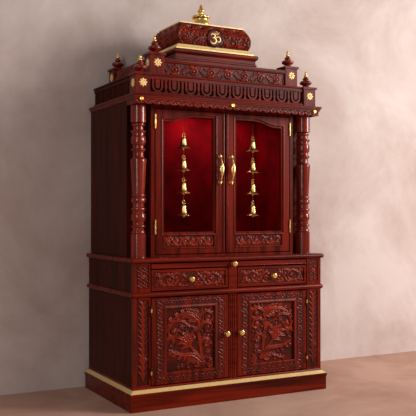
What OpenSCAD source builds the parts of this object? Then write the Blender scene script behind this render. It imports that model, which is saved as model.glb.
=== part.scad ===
// Wooden pooja mandir: a cupboard with doors, drawers and a pull-out tray,
// a shrine with two arched doors, and a roof of galleries under a carved dome.
// Millimetres. The origin is on the floor under the middle of the plinth,
// +X to the viewer's right, the front faces -Y, +Z up.

/* [Plinth] */
// Width of the plinth, the widest part
plinth_w = 1067; // [960:1:1200]
// Depth of the plinth from front to wall
plinth_d = 604; // [560:1:680]
// Height of the plinth boards
plinth_h = 80; // [60:1:110]
// Thickness of the plinth boards
plinth_board = 25; // [18:1:32]
// How far the cupboard stands back from the plinth
plinth_step = 20; // [12:1:26]
// Height of the sloping gilt band on the plinth
gilt_h = 14; // [8:1:18]
// Thickness of the cupboard's floor board
floor_t = 24; // [20:1:30]

/* [Cupboard] */
// Thickness of the side boards
board = 18; // [15:1:22]
// Thickness of the back panels
back_t = 12; // [8:1:18]
// Height of the opening for the cupboard doors
cup_open_h = 403; // [340:1:460]
// Width of the carved pilasters
pilaster_w = 84; // [70:1:100]
// Thickness of pilasters, rails and doors of the cupboard
face_t = 22; // [18:1:26]
// Width of the fixed stile between the cupboard doors
stile_w = 40; // [30:1:60]
// Height of the bullnose rail over the cupboard doors
rail_h = 24; // [20:1:30]
// Height of the opening for the drawers
drawer_open_h = 104; // [95:1:115]
// Height of the opening for the tray above the drawers
tray_open_h = 28; // [25:1:34]
// Height of the bullnose waist board
waist_h = 22; // [18:1:28]
// How far the waist board's core passes the cupboard
waist_out = 4; // [0:1:8]

/* [Drawers and tray] */
// Gap between a moving piece and what it must not touch
gap = 5; // [4:0.5:6]
// Clearance of a piece that slides on its runner
seat = 0.3; // [0.2:0.05:0.5]
// Width of the block between the drawers
divider_w = 46; // [36:1:60]
// Space behind the drawer boxes
drawer_clear = 74; // [60:1:170]
// Height of the drawer boxes
drawer_box_h = 72; // [50:1:76]
// Thickness of the drawer box boards
drawer_t = 12; // [9:1:15]
// Thickness of the tray board
tray_t = 12; // [9:1:15]

/* [Shrine] */
// How far the shrine's sides stand in from the cupboard's
shrine_in = 10.5; // [4:0.5:24]
// Height from the waist board to the cornice board
shrine_h = 719; // [600:1:800]
// Width of the recess beside the doors that a column stands in
recess_w = 108.5; // [96:0.5:120]
// Front of the doors, measured back from the cupboard's front
door_set_back = 74; // [66:1:84]
// Thickness of the shrine doors
door_t = 25; // [20:1:28]
// Depth of the recess behind the columns
recess_d = 58; // [52:1:70]
// Height of the door sill
sill_h = 8; // [6:1:14]
// Height of the head rail over the doors
head_h = 26; // [20:1:32]
// Width of a door's inner stile, next to the middle
stile_in_w = 60; // [50:1:75]
// Width of a door's outer stile, next to the hinges
stile_out_w = 45; // [38:1:60]
// Height of a door's bottom rail
rail_bottom_h = 102; // [96:1:130]
// Height of a door's top rail at the low side of its arch
rail_top_h = 55; // [50:1:90]
// Rise of the arch towards the middle of the shrine
arch_rise = 28; // [10:1:34]
// Thickness of the velvet lining
lining_t = 3; // [2:0.5:5]

/* [Columns and bells] */
// Radius of the columns
column_r = 36; // [28:1:38]
// Pitch of the bells on a chain
bell_pitch = 108; // [90:1:115]
// Number of bells on a chain
bell_count = 4; // [2:1:4]
// Rim radius of a bell
bell_r = 30; // [22:1:32]
// Height of a bell's body
bell_h = 54; // [40:1:58]

/* [Cornice and roof] */
// How far the cornice board's core stands behind the cupboard's front
cornice_back = 3; // [0:1:10]
// Height of the cornice board
cornice_h = 24; // [20:1:30]
// Height of the carved strip under the cornice
frieze_h = 22; // [18:1:26]
// Number of scallops along the front of the carved strip
scallops = 24; // [12:1:30]
// How far the gallery posts stand in from the shrine's sides
gallery_in = 9.5; // [4:0.5:20]
// How far the gallery posts stand behind the cornice's front
gallery_back = 14.5; // [8:0.5:24]
// Height of the gallery posts
gallery_post_h = 88; // [76:1:100]
// Side of the square posts
post = 70; // [60:1:76]
// How far the upper tier's posts stand in from the gallery's
tier_in = 87.5; // [82:0.5:110]
// How far the upper tier's posts stand behind the gallery's
tier_back = 34.5; // [33:0.5:45]
// Height of the upper tier over the cornice
tier_h = 180; // [160:1:200]
// Thickness of the roof deck
deck_t = 12; // [9:1:18]
// Width of the dome's base
dome_base_w = 450; // [400:1:480]
// Depth of the dome's base
dome_base_d = 336; // [280:1:350]
// How far the dome's base stands behind the upper tier's front
dome_back = 110; // [90:1:125]
// Height of the dome's base with its mouldings
dome_base_h = 80; // [70:1:90]
// Height of the gilt steps under the dome
dome_gilt_h = 27; // [20:1:32]
// Height of the dome
dome_h = 111; // [90:1:130]
// How far the dome's foot stands in from its base
dome_in = 27; // [23:1:40]
// How far the dome's sides bulge out past its foot
dome_bulge = 10; // [4:1:16]
// How far the dome's top edge draws in from its foot
dome_draw = 20; // [8:1:30]
// Height of the finial on the dome
kalash_h = 135; // [110:1:150]

/* [Hidden] */
$fn = 48;

// Heights, from the floor up
gilt_z = plinth_h;
cup_z = plinth_h + floor_t;
rail_z = cup_z + cup_open_h;
drawer_z = rail_z + rail_h;
tray_z = drawer_z + drawer_open_h;
waist_z = tray_z + tray_open_h;
shrine_z = waist_z + waist_h;
cornice_z = shrine_z + shrine_h;
roof_z = cornice_z + cornice_h;
tier_z = roof_z + tier_h;
dome_gilt_z = tier_z + dome_base_h;
dome_z = dome_gilt_z + dome_gilt_h;
kalash_z = dome_z + dome_h;

// Cupboard
body_x = plinth_w / 2 - plinth_step;
back_y = plinth_d / 2;
front_y = -plinth_d / 2 + plinth_step;
inner_x = body_x - pilaster_w;
face_back_y = front_y + face_t;
hinge_r = 4;
hinge_pin_r = 1.6;
hinge_bore_r = 2;
hinge_leaf_t = 1.3;
hinge_out = 4;
cup_hinge_h = 48;
shrine_hinge_h = 66;
cup_hinge_x = inner_x - gap / 2;
hinge_share = 0.15;
cup_hinge_zs = [cup_z + hinge_share * cup_open_h, rail_z - hinge_share * cup_open_h];
knob_share = 0.53;
panel_margin = 0.19;
panel_d = 8;
bead_out = 4;

// Drawers
runner_w = 14;
drawer_floor_t = 18;
drawer_in_x = divider_w / 2 + gap;
drawer_out_x = inner_x - gap;
drawer_face_t = 18;
drawer_d = back_y - back_t - drawer_clear - front_y - drawer_face_t;
drawer_panel_d = 4;
ledge_w = 84;
knob_r = 14.5;

// Shrine
shrine_x = body_x - shrine_in;
shrine_front_y = front_y + door_set_back;
jamb_x = shrine_x - recess_w;
door_out_x = jamb_x - board - gap;
door_in_x = gap / 2;
recess_y = shrine_front_y + recess_d;
side_y = recess_y - column_r + 6;
door_z = shrine_z + sill_h + gap;
door_top_z = cornice_z - head_h - gap;
window_z = door_z + rail_bottom_h;
window_h = door_top_z - rail_top_h - window_z;
window_in_x = door_in_x + stile_in_w;
window_out_x = door_out_x - stile_out_w;
shrine_hinge_x = jamb_x - board - gap / 2;
shrine_hinge_zs = [window_z + 24, door_top_z - 59];
column_out = 9;
column_x = (jamb_x + shrine_x) / 2 + column_out;
column_y = shrine_front_y + 2;
bell_x = (window_in_x + window_out_x) / 2;
bell_y = shrine_front_y + door_t + bell_r + 2 * gap;

// Roof
cornice_y = front_y + cornice_back;
gallery_x = shrine_x - gallery_in;
gallery_y = cornice_y + gallery_back;
tier_x = gallery_x - tier_in;
tier_y = gallery_y + tier_back;
dome_y = tier_y + dome_back + dome_base_d / 2;
dome_x = dome_base_w / 2 - dome_in;
dome_half_d = dome_base_d / 2 - dome_in;
dome_widest = 0.42;
rim_x = dome_x - dome_draw + 2;
rim_y = dome_half_d - dome_draw + 2;
rim_w = 12;
rim_h = 5;
cap_t = 11;
finial_h = 58;
tip_h = 28;
cap_out = 6;
tier_post_top = tier_z + 11;
rail_t = 26;
gallery_panel_in = 8;
arch_pitch = 86;
spindle_pitch = 22;
spindle_side = [[8, 0], [8, 0.1], [4.5, 0.16], [4, 0.3], [6.5, 0.5], [5, 0.72], [4, 0.84],
    [8, 0.9], [8, 1]];
arcade_t = 16;
arcade_rail = 15;
arcade_bar = 10;

// Board with a round nose along its front and both sides
module bullnose_board(half_w, y_front, y_back, z, h) {
    r = h / 2;
    translate([-half_w, y_front, z])
        cube([2 * half_w, y_back - y_front, h]);
    translate([-half_w, y_front, z + r])
        rotate([0, 90, 0])
            cylinder(r = r, h = 2 * half_w);
    for (side = [-1, 1]) {
        translate([side * half_w, y_back, z + r])
            rotate([90, 0, 0])
                cylinder(r = r, h = y_back - y_front);
        translate([side * half_w, y_front, z + r])
            sphere(r = r);
    }
}

// Moulding round the front and both sides, mitred at the corners.
// Its points are [distance outwards, height].
module run_round(half_w, y_front, y_back, points, reach, inside = 0) {
    top = max([for (p = points) p[1]]) + 1;
    low = min([for (p = points) p[1]]) - 1;
    intersection() {
        translate([-half_w - reach, 0, 0])
            rotate([90, 0, 90])
                linear_extrude(2 * (half_w + reach))
                    polygon([for (p = points) [y_front - p[0], p[1]]]);
        translate([0, 0, low])
            linear_extrude(top - low)
                polygon([[-half_w - reach, y_front - reach], [half_w + reach, y_front - reach],
                    [half_w - inside, y_front + inside], [-half_w + inside, y_front + inside]]);
    }
    for (side = [-1, 1])
        intersection() {
            translate([0, y_back, 0])
                rotate([90, 0, 0])
                    linear_extrude(y_back - y_front + reach)
                        polygon([for (p = points) [side * (half_w + p[0]), p[1]]]);
            translate([0, 0, low])
                linear_extrude(top - low)
                    polygon([for (p = [[half_w + reach, y_back], [half_w + reach, y_front - reach],
                        [half_w - inside, y_front + inside], [half_w - inside, y_back]])
                        [side * p[0], p[1]]]);
        }
}

// Moulding round all four sides of a rectangle about the origin
module run_square(half_w, half_d, points, reach, inside = 0) {
    run_round(half_w, -half_d, 0, points, reach, inside);
    mirror([0, 1, 0])
        run_round(half_w, -half_d, 0, points, reach, inside);
}

// Block between two corners
module block(lo, hi) {
    translate(lo)
        cube(hi - lo);
}

// Half-round bead round a panel in a front face at y
module bead_frame(lo, hi, y, r) {
    for (z = [lo[1], hi[1]])
        translate([lo[0], y, z])
            rotate([0, 90, 0])
                cylinder(r = r, h = hi[0] - lo[0]);
    for (x = [lo[0], hi[0]]) {
        translate([x, y, lo[1]])
            cylinder(r = r, h = hi[1] - lo[1]);
        for (z = [lo[1], hi[1]])
            translate([x, y, z])
                sphere(r = r);
    }
}

// Copy for the left or the right side
module on_side(side) {
    mirror([side < 0 ? 1 : 0, 0, 0])
        children();
}

// Points of a rounded bead between two heights, from inner to outer radius
function bead(z0, z1, r_in, r_out, n = 8) =
    [for (i = [0:n]) [r_in + (r_out - r_in) * sin(180 * i / n),
        z0 + (z1 - z0) * (1 - cos(180 * i / n)) / 2]];

module plinth() {
    half_w = plinth_w / 2;
    half_d = plinth_d / 2;
    bead_h = 14;
    color("#4a1a12") {
        difference() {
            block([-half_w, -half_d, 0], [half_w, half_d, plinth_h]);
            for (side = [-1, 1])
                on_side(side)
                    block([plinth_board / 2, -half_d + plinth_board, -1],
                        [half_w - plinth_board, half_d - plinth_board, plinth_h + 1]);
        }
        run_round(half_w, -half_d, half_d, [[-1, plinth_h - bead_h], [3, plinth_h - bead_h + 2],
            [3, plinth_h - 2], [-1, plinth_h]], 4, 2);
    }
}

module gilt_bands() {
    color("#d9ad4a") {
        run_round(body_x, front_y, back_y, [[0, gilt_z], [plinth_step, gilt_z],
            [plinth_step, gilt_z + 2], [3, gilt_z + gilt_h], [0, gilt_z + gilt_h]], plinth_step + 1);
        translate([0, dome_y, dome_gilt_z]) {
            block([-dome_x, -dome_half_d, 0], [dome_x, dome_half_d, dome_gilt_h]);
            run_square(dome_x, dome_half_d, [for (p = [[-1, 0], [22, 0], [22, 7], [19, 9],
                [16, 9], [13, 16], [10, 18], [7, 18], [5, 25], [3, 27], [-1, 27]])
                [p[0], p[1] * dome_gilt_h / 27]], 23, 2);
        }
        translate([0, dome_y, kalash_z])
            difference() {
                block([-rim_x, -rim_y, 0], [rim_x, rim_y, rim_h]);
                block([-rim_x + rim_w, -rim_y + rim_w, -1], [rim_x - rim_w, rim_y - rim_w, rim_h + 1]);
            }
    }
}

module cupboard_floor() {
    skirt_z = gilt_z + gilt_h;
    color("#5c2015") {
        block([-body_x, front_y, plinth_h], [body_x, back_y, cup_z]);
        run_round(body_x, front_y, back_y, [[-1, skirt_z], [3, skirt_z],
            [3, skirt_z + 4], [-1, cup_z]], 4, 2);
    }
}

module cupboard_side(side) {
    ledge_top = tray_z + gap - seat;
    color("#4a1a12")
        on_side(side) {
            block([body_x - board, face_back_y, cup_z], [body_x, back_y, waist_z]);
            block([body_x - board - ledge_w, front_y + drawer_face_t + gap, ledge_top - board],
                [body_x - board + 1, back_y - back_t, ledge_top]);
        }
}

module cupboard_back() {
    color("#4a1a12")
        block([-body_x + board, back_y - back_t, cup_z], [body_x - board, back_y, waist_z]);
}

module pilaster(side) {
    panel_d = 4;
    margin = 9;
    color("#6a2417")
        on_side(side)
            difference() {
                block([inner_x, front_y, cup_z], [body_x, face_back_y, waist_z]);
                block([inner_x + margin, front_y - 1, cup_z + margin],
                    [body_x - 2 * margin, front_y + panel_d, rail_z - margin]);
                block([inner_x + margin, front_y - 1, drawer_z + 2 * margin],
                    [body_x - 2 * margin, front_y + panel_d, waist_z - margin]);
            }
}

module face_frame() {
    color("#6a2417") {
        block([-stile_w / 2, front_y, cup_z], [stile_w / 2, face_back_y, rail_z + 1]);
        for (x = [-0.5, 0, 0.5])
            translate([x * stile_w / 2, front_y, cup_z])
                cylinder(r = stile_w / 12, h = cup_open_h);
        block([-inner_x, front_y, rail_z], [inner_x, face_back_y, drawer_z]);
        difference() {
            bullnose_board(body_x, front_y, back_y, rail_z, rail_h);
            block([-body_x, front_y, rail_z - 1], [body_x, back_y + 1, drawer_z + 1]);
        }
    }
}

module drawer_deck() {
    deck_z = rail_z + drawer_floor_t;
    color("#5c2015") {
        block([-body_x + board, face_back_y, deck_z - drawer_floor_t],
            [body_x - board, back_y - back_t, deck_z]);
        block([-divider_w / 2, front_y, drawer_z], [divider_w / 2, face_back_y + 1, tray_z]);
        block([-board / 2, face_back_y, deck_z - 1],
            [board / 2, back_y - back_t, tray_z]);
        for (side = [-1, 1])
            on_side(side)
                for (x = [drawer_in_x + gap, drawer_out_x - gap - runner_w])
                    block([x, face_back_y, deck_z - 1],
                        [x + runner_w, back_y - back_t, drawer_z + gap - seat]);
    }
}

module waist_board() {
    color("#6a2417")
        bullnose_board(body_x + waist_out, front_y - waist_out, back_y, waist_z, waist_h);
}

module shrine_side(side) {
    color("#4a1a12")
        on_side(side)
            block([shrine_x - board, side_y, shrine_z], [shrine_x, back_y, cornice_z]);
}

module shrine_back() {
    color("#4a1a12")
        block([-shrine_x + board, back_y - back_t, shrine_z],
            [shrine_x - board, back_y, cornice_z]);
}

module shrine_front_frame() {
    stop_y = shrine_front_y + door_t + gap;
    color("#5c2015") {
        for (side = [-1, 1])
            on_side(side) {
                block([jamb_x - board, shrine_front_y, shrine_z],
                    [jamb_x, recess_y + board, cornice_z]);
                block([jamb_x - 1, recess_y, shrine_z],
                    [shrine_x - board, recess_y + board, cornice_z]);
            }
        block([-jamb_x + 1, shrine_front_y, shrine_z],
            [jamb_x - 1, recess_y, shrine_z + sill_h]);
        block([-jamb_x + 1, shrine_front_y, cornice_z - head_h],
            [jamb_x - 1, recess_y + board, cornice_z]);
        block([-jamb_x + 1, stop_y, door_top_z - 20],
            [jamb_x - 1, stop_y + gap, cornice_z - 1]);
    }
}

module velvet_lining() {
    y0 = recess_y + board;
    x1 = shrine_x - board;
    y1 = back_y - back_t;
    color("#7a0512")
        difference() {
            block([-x1, y0, shrine_z], [x1, y1, cornice_z]);
            block([-x1 + lining_t, y0 - 1, shrine_z - 1],
                [x1 - lining_t, y1 - lining_t, cornice_z + 1]);
        }
}

// Turned outline of a column: groups of rings, balls and necks, written for a
// radius of 36 over a height of 699 and stretched to the column's own size.
function ring(z, h, r_in, r_out) = bead(z - h / 2, z + h / 2, r_in, r_out, 6);
function column_half() = concat(
    [[0, 0], [36, 0], [36, 108], [33, 108]],
    bead(108, 122, 30, 33, 4), [[28, 126], [28, 134]],
    ring(143, 11, 29, 35.5), [[28, 150], [28, 158]],
    ring(184, 38, 29, 35), [[29, 206]], ring(222, 13, 30, 35), [[28, 231], [28, 238]],
    bead(248, 276, 28, 35, 6), [[29, 278]], ring(285, 11, 29, 34), [[30, 293]]);
function column_top() = concat(
    [[37.5, 441], [37.5, 450], [28, 460], [26, 468], [26, 478]],
    ring(493, 14, 28, 35), [[27, 501], [27, 510]], ring(536, 43, 29, 35), [[29, 560]],
    ring(576, 14, 29, 36), [[25, 585], [25, 598]], ring(607, 16, 26, 31),
    [[30, 617], [36, 618], [36, 719], [0, 719]]);

module column(side) {
    color("#6a2417")
        on_side(side)
            translate([column_x, column_y, shrine_z])
                rotate_extrude()
                    polygon([for (p = concat(column_half(), column_top()))
                        [p[0] * column_r / 36, p[1] * shrine_h / 719]]);
}

module bell(r, h) {
    wall = 2;
    rotate_extrude()
        polygon([[0, h], [r * 0.16, h], [r * 0.2, h * 0.92], [r * 0.34, h * 0.9], [r * 0.43, h * 0.82],
            [r * 0.46, h * 0.5], [r * 0.52, h * 0.26], [r * 0.66, h * 0.14], [r, h * 0.05], [r, 0],
            [r * 0.62, h * 0.08], [r * 0.44, h * 0.24], [r * 0.38, h * 0.5], [r * 0.34, h * 0.78],
            [0, h * 0.9 - wall]]);
}

module bell_strands() {
    top_z = cornice_z - head_h;
    hook_z = door_top_z - 22;
    chain_r = 1.5;
    low_z = top_z - 176 - (bell_count - 1) * bell_pitch;
    color("#d9ad4a")
        for (side = [-1, 1])
            on_side(side)
                translate([bell_x, bell_y, 0]) {
                    for (i = [0:bell_count - 1])
                        translate([0, 0, low_z + i * bell_pitch])
                            bell(bell_r, bell_h);
                    translate([0, 0, low_z + bell_h - 3])
                        cylinder(r = chain_r, h = top_z - low_z - bell_h + 3);
                    translate([0, 0, hook_z])
                        cylinder(r = 4, h = top_z - hook_z);
                }
}

module cornice() {
    x = shrine_x;
    top = cornice_z + cornice_h;
    color("#6a2417") {
        block([-x, cornice_y, cornice_z], [x, back_y, top]);
        run_round(x, cornice_y, back_y, [[-1, cornice_z], [4, cornice_z],
            [4, cornice_z + 6], [8, cornice_z + 10], [8, cornice_z + 14],
            [12, cornice_z + 16], [12, top - 3], [9, top], [-1, top]], 13, 2);
    }
}

module cornice_frieze() {
    x = shrine_x;
    t = 12;
    side_t = 8;
    pitch = 2 * x / scallops;
    color("#6a2417") {
        difference() {
            block([-x, cornice_y, cornice_z - frieze_h],
                [x, cornice_y + t, cornice_z]);
            for (i = [1:scallops - 1])
                translate([-x + i * pitch, cornice_y - 1, cornice_z - frieze_h])
                    rotate([-90, 0, 0])
                        cylinder(r = frieze_h / 4, h = t + 2);
        }
        for (side = [-1, 1])
            on_side(side)
                block([x - side_t, cornice_y + t - 1, cornice_z - frieze_h],
                    [x, side_y, cornice_z]);
    }
}

// Square post with a flat cap
module square_post(x, y, z, h) {
    block([x, y, z], [x + post, y + post, z + h]);
    block([x - cap_out, y - cap_out, z + h], [x + post + cap_out, y + post + cap_out, z + h + cap_t]);
}

module posts() {
    color("#6a2417")
        for (side = [-1, 1])
            on_side(side) {
                square_post(gallery_x - post, gallery_y, roof_z, gallery_post_h);
                square_post(tier_x - post, tier_y, roof_z, tier_post_top - roof_z);
                square_post(tier_x - post, back_y - post - cap_out, roof_z, tier_post_top - roof_z);
            }
}

// Outline of a solid U that hangs from a height, with its round foot down
module hanging_u(r, foot_z, top_z) {
    translate([0, foot_z + r])
        circle(r);
    translate([-r, foot_z + r])
        square([2 * r, top_z - foot_z - r]);
}

// Pierced front of the gallery: a row of hanging U arches, a bud inside each
// and a spindle between them, in the X-Z plane
module arcade(x0, x1, z, h) {
    bays = max(1, round((x1 - x0) / arch_pitch));
    pitch = (x1 - x0) / bays;
    low = z + arcade_rail;
    high = z + h - arcade_rail;
    r = pitch * 0.33;
    bud = r - 1.75 * arcade_bar;
    for (i = [0:bays - 1])
        translate([x0 + (i + 0.5) * pitch, 0]) {
            difference() {
                hanging_u(r, low - 1, high + 1);
                hanging_u(r - arcade_bar, low - 1 + arcade_bar, high);
            }
            hanging_u(bud, low + 1.6 * arcade_bar, high + 1);
            translate([-bud - 2, high - arcade_bar])
                square([2 * bud + 4, arcade_bar / 2]);
        }
    for (i = [0:bays])
        intersection() {
            translate([x0, z])
                square([x1 - x0, h]);
            translate([x0 + i * pitch, low - 1])
                polygon(concat([for (p = spindle_side) [p[0], p[1] * (high - low + 2)]],
                    [for (k = [len(spindle_side) - 1:-1:0])
                        [-spindle_side[k][0], spindle_side[k][1] * (high - low + 2)]]));
        }
}

// Pierced side of the gallery: close square spindles
module spindle_row(x0, x1, z, h) {
    bays = max(1, round((x1 - x0) / spindle_pitch));
    pitch = (x1 - x0) / bays;
    for (i = [0:bays - 1])
        translate([x0 + (i + 0.5) * pitch - spindle_pitch / 4, z + 1])
            square([spindle_pitch / 2, h - 2]);
}

module gallery_front() {
    x = gallery_x - post;
    y = gallery_y + gallery_panel_in;
    top = roof_z + gallery_post_h + cap_t;
    color("#6a2417") {
        translate([0, y + arcade_t + 3, 0])
            rotate([90, 0, 0])
                linear_extrude(arcade_t)
                    arcade(-x, x, roof_z, gallery_post_h);
        block([-x, y, roof_z], [x, y + rail_t, roof_z + arcade_rail]);
        block([-x, y, top - arcade_rail - cap_t], [x, y + rail_t, top - cap_t]);
        block([-x + cap_out, y, top - cap_t - 1], [x - cap_out, y + rail_t, top]);
        translate([-x, y, roof_z + arcade_rail / 2])
            rotate([0, 90, 0])
                cylinder(r = cap_t / 2, h = 2 * x);
        translate([-x + cap_out, y, top - cap_t / 2])
            rotate([0, 90, 0])
                cylinder(r = cap_t / 2, h = 2 * (x - cap_out));
    }
}

module gallery_sides() {
    y0 = gallery_y + post;
    x = gallery_x - gallery_panel_in;
    top = roof_z + gallery_post_h + cap_t;
    color("#4a1a12")
        for (side = [-1, 1])
            on_side(side) {
                translate([x - arcade_t - 3, 0, 0])
                    rotate([90, 0, 90])
                        linear_extrude(arcade_t)
                            spindle_row(y0, back_y, roof_z, gallery_post_h);
                block([x - rail_t, y0, roof_z], [x, back_y, roof_z + arcade_rail]);
                block([x - rail_t, y0, top - arcade_rail - cap_t], [x, back_y, top - cap_t]);
                block([x - rail_t, y0 + cap_out, top - cap_t - 1], [x, back_y, top]);
                translate([x, back_y, roof_z + arcade_rail / 2])
                    rotate([90, 0, 0])
                        cylinder(r = cap_t / 2, h = back_y - y0);
                translate([x, back_y, top - cap_t / 2])
                    rotate([90, 0, 0])
                        cylinder(r = cap_t / 2, h = back_y - y0 - cap_out);
            }
}

module finial() {
    rotate_extrude()
        polygon([for (p = concat([[0, 0], [24, 0], [23, 4], [16, 8], [15, 12]],
            bead(13, 36, 16, 31, 10), [[15, 40], [13, 41], [13, 46], [10, 48], [7, 54],
            [6, 58], [0, 58]])) [p[0], p[1] * finial_h / 58]]);
}

// Half outline of the dome across a half width: out to the bulge, then round to the top
function dome_side(half, n = 15) =
    [for (i = [0:n]) let(t = i / n)
        [half + (t < dome_widest ? dome_bulge * sin(90 * t / dome_widest)
            : dome_bulge - (dome_bulge + dome_draw) * (1 - cos(90 * (t - dome_widest)
                / (1 - dome_widest)))), dome_h * t]];
function dome_outline(half) = concat(dome_side(half),
    [for (p = [for (i = [15:-1:0]) dome_side(half)[i]]) [-p[0], p[1]]]);

// Places of the finials on the posts: [x, y, z]
function finial_places() = [for (side = [-1, 1]) each [
    [side * (gallery_x - post / 2), gallery_y + post / 2, roof_z + gallery_post_h + cap_t],
    [side * (tier_x - post / 2), tier_y + post / 2, tier_post_top + cap_t],
    [side * (tier_x - post / 2), back_y - post / 2 - cap_out, tier_post_top + cap_t]]];

module finials() {
    color("#6a2417")
        for (p = finial_places())
            translate(p)
                finial();
}

module upper_tier() {
    x = tier_x - 6;
    y = tier_y + 6;
    low = roof_z + 30;
    high = tier_z - deck_t - 2 * bead_out;
    color("#5c2015")
        difference() {
            union() {
                block([-x, y, roof_z], [x, back_y - 8, tier_z - deck_t]);
                for (z = [roof_z + 2 * bead_out, low - bead_out, high + bead_out])
                    translate([-x, y, z])
                        rotate([0, 90, 0])
                            cylinder(r = bead_out, h = 2 * x);
            }
            block([-x - 1, y - bead_out, low], [x + 1, y + bead_out, high]);
            block([-x + board, y + board, roof_z - 1],
                [x - board, back_y - 8 - board, tier_z]);
            for (side = [-1, 1])
                on_side(side)
                    for (py = [tier_y, back_y - post - cap_out])
                        block([tier_x - post, py - 20, roof_z - 1],
                            [tier_x + 20, py + post + 20, tier_z]);
        }
}

module roof_deck() {
    x = tier_x - 4;
    y = tier_y + 2;
    color("#4a1a12")
        difference() {
            block([-x, y, tier_z - deck_t], [x, back_y - 4, tier_z]);
            for (side = [-1, 1])
                on_side(side)
                    for (py = [tier_y, back_y - post - cap_out])
                        block([tier_x - post, py - 20, roof_z], [tier_x, py + post + 20, tier_z + 1]);
        }
}

module dome_base() {
    w = dome_base_w / 2;
    d = dome_base_d / 2;
    color("#6a2417")
        translate([0, dome_y, 0]) {
            block([-w, -d, tier_z], [w, d, dome_gilt_z]);
            run_square(w, d, [for (p = [[-1, 0], [5, 0], [5, 10], [2, 14], [2, 24], [5, 27],
                [5, 33], [-1, 38], [-1, 50], [2, 54], [9, 60], [11, 66], [11, 72], [8, 78],
                [-1, 80]]) [p[0], tier_z + p[1] * dome_base_h / 80]], 12, 2);
        }
}

module dome() {
    lip = 6;
    color("#5c2015")
        intersection() {
            translate([0, dome_y + dome_half_d + dome_bulge, dome_z])
                rotate([90, 0, 0])
                    linear_extrude(2 * (dome_half_d + dome_bulge))
                        polygon(dome_outline(dome_x));
            translate([-dome_x - dome_bulge, dome_y, dome_z])
                rotate([90, 0, 90])
                    linear_extrude(2 * (dome_x + dome_bulge))
                        polygon(dome_outline(dome_half_d));
        }
    color("#5c2015")
        translate([0, dome_y, kalash_z - lip])
            block([-dome_x + dome_draw + 2, -dome_half_d + dome_draw + 2, 0],
                [dome_x - dome_draw - 2, dome_half_d - dome_draw - 2, lip]);
}

module brass_finials() {
    color("#d9ad4a") {
        translate([0, dome_y, kalash_z])
            rotate_extrude()
                polygon([for (p = [[0, 0], [38, 0], [38, 8], [30, 16], [30, 26], [42, 36],
                    [43, 46], [47, 50], [48, 58], [47, 66], [40, 70], [25, 72], [25, 78], [12, 81],
                    [8, 85], [12, 90], [18, 96], [19, 101], [16, 106], [8, 113], [6, 118],
                    [3, 128], [0, 135]]) [p[0], p[1] * kalash_h / 135]]);
        for (p = finial_places())
            translate([p[0], p[1], p[2] + finial_h])
                rotate_extrude()
                    polygon(concat([[0, 0]], bead(0, 9, 3, 6, 6), [[3.5, 10], [0.8, tip_h], [0, tip_h]]));
    }
}

// Knuckles and leaf of a butt hinge on the fixed side, the pin through them
module hinge_fixed(x, y, z, h) {
    third = h / 3;
    translate([x, y, z]) {
        cylinder(r = hinge_pin_r, h = h);
        for (k = [0, 2])
            translate([0, 0, k * third])
                cylinder(r = hinge_r, h = third);
        for (k = [0, 2])
            block([hinge_pin_r, 0, k * third], [gap / 2, hinge_out + 18, (k + 1) * third]);
        block([gap / 2 - hinge_leaf_t, hinge_out + 1, 0], [gap / 2, hinge_out + 18, h]);
    }
}

// Middle knuckle and leaf of the same hinge on the door
module hinge_moving(x, y, z, h) {
    third = h / 3;
    free = seat;
    translate([x, y, z + third + free])
        difference() {
            union() {
                cylinder(r = hinge_r, h = third - 2 * free);
                block([-gap / 2, 0, 0], [-gap / 2 + hinge_leaf_t, hinge_out + 18, third - 2 * free]);
            }
            translate([0, 0, -1])
                cylinder(r = hinge_bore_r, h = third + 2);
        }
}

module hinge_pins() {
    color("#b8893a")
        for (side = [-1, 1])
            on_side(side) {
                for (z = cup_hinge_zs)
                    hinge_fixed(cup_hinge_x, front_y - hinge_out, z - cup_hinge_h / 2, cup_hinge_h);
                for (z = shrine_hinge_zs)
                    hinge_fixed(shrine_hinge_x, shrine_front_y - hinge_out,
                        z - shrine_hinge_h / 2, shrine_hinge_h);
            }
}

// Height of the arch over the window at a place across the door
function arch_z(x) =
    let(flat = window_in_x + 0.38 * (window_out_x - window_in_x),
        low = window_in_x + 0.9 * (window_out_x - window_in_x),
        t = min(1, max(0, (x - flat) / (low - flat))))
    window_z + window_h + arch_rise * (1 + cos(180 * t)) / 2;

// Outline of the window in a right-hand door, grown by a margin
module window_shape(margin) {
    n = 16;
    x0 = window_in_x - margin;
    x1 = window_out_x + margin;
    polygon(concat([[x0, window_z - margin], [x1, window_z - margin]],
        [for (i = [0:n]) let(x = x1 + (x0 - x1) * i / n) [x, arch_z(x) + margin]]));
}

module shrine_door(side) {
    bead_r = 7.5;
    panel_lo = [window_in_x, door_z + 30];
    panel_hi = [window_out_x, window_z - 18];
    color("#6a2417")
        on_side(side)
            difference() {
                union() {
                    block([door_in_x, shrine_front_y, door_z],
                        [door_out_x, shrine_front_y + door_t, door_top_z]);
                    translate([door_in_x + bead_r, shrine_front_y + 2, door_z])
                        cylinder(r = bead_r, h = door_top_z - door_z);
                    bead_frame(panel_lo - [bead_out, bead_out], panel_hi + [bead_out, bead_out],
                        shrine_front_y + 1, bead_out);
                }
                translate([0, shrine_front_y + door_t + 1, 0])
                    rotate([90, 0, 0])
                        linear_extrude(door_t + 2)
                            window_shape(0);
                translate([0, shrine_front_y + 4, 0])
                    rotate([90, 0, 0])
                        linear_extrude(5)
                            window_shape(8);
                block([panel_lo[0], shrine_front_y - bead_out, panel_lo[1]],
                    [panel_hi[0], shrine_front_y + 5, panel_hi[1]]);
            }
}

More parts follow.
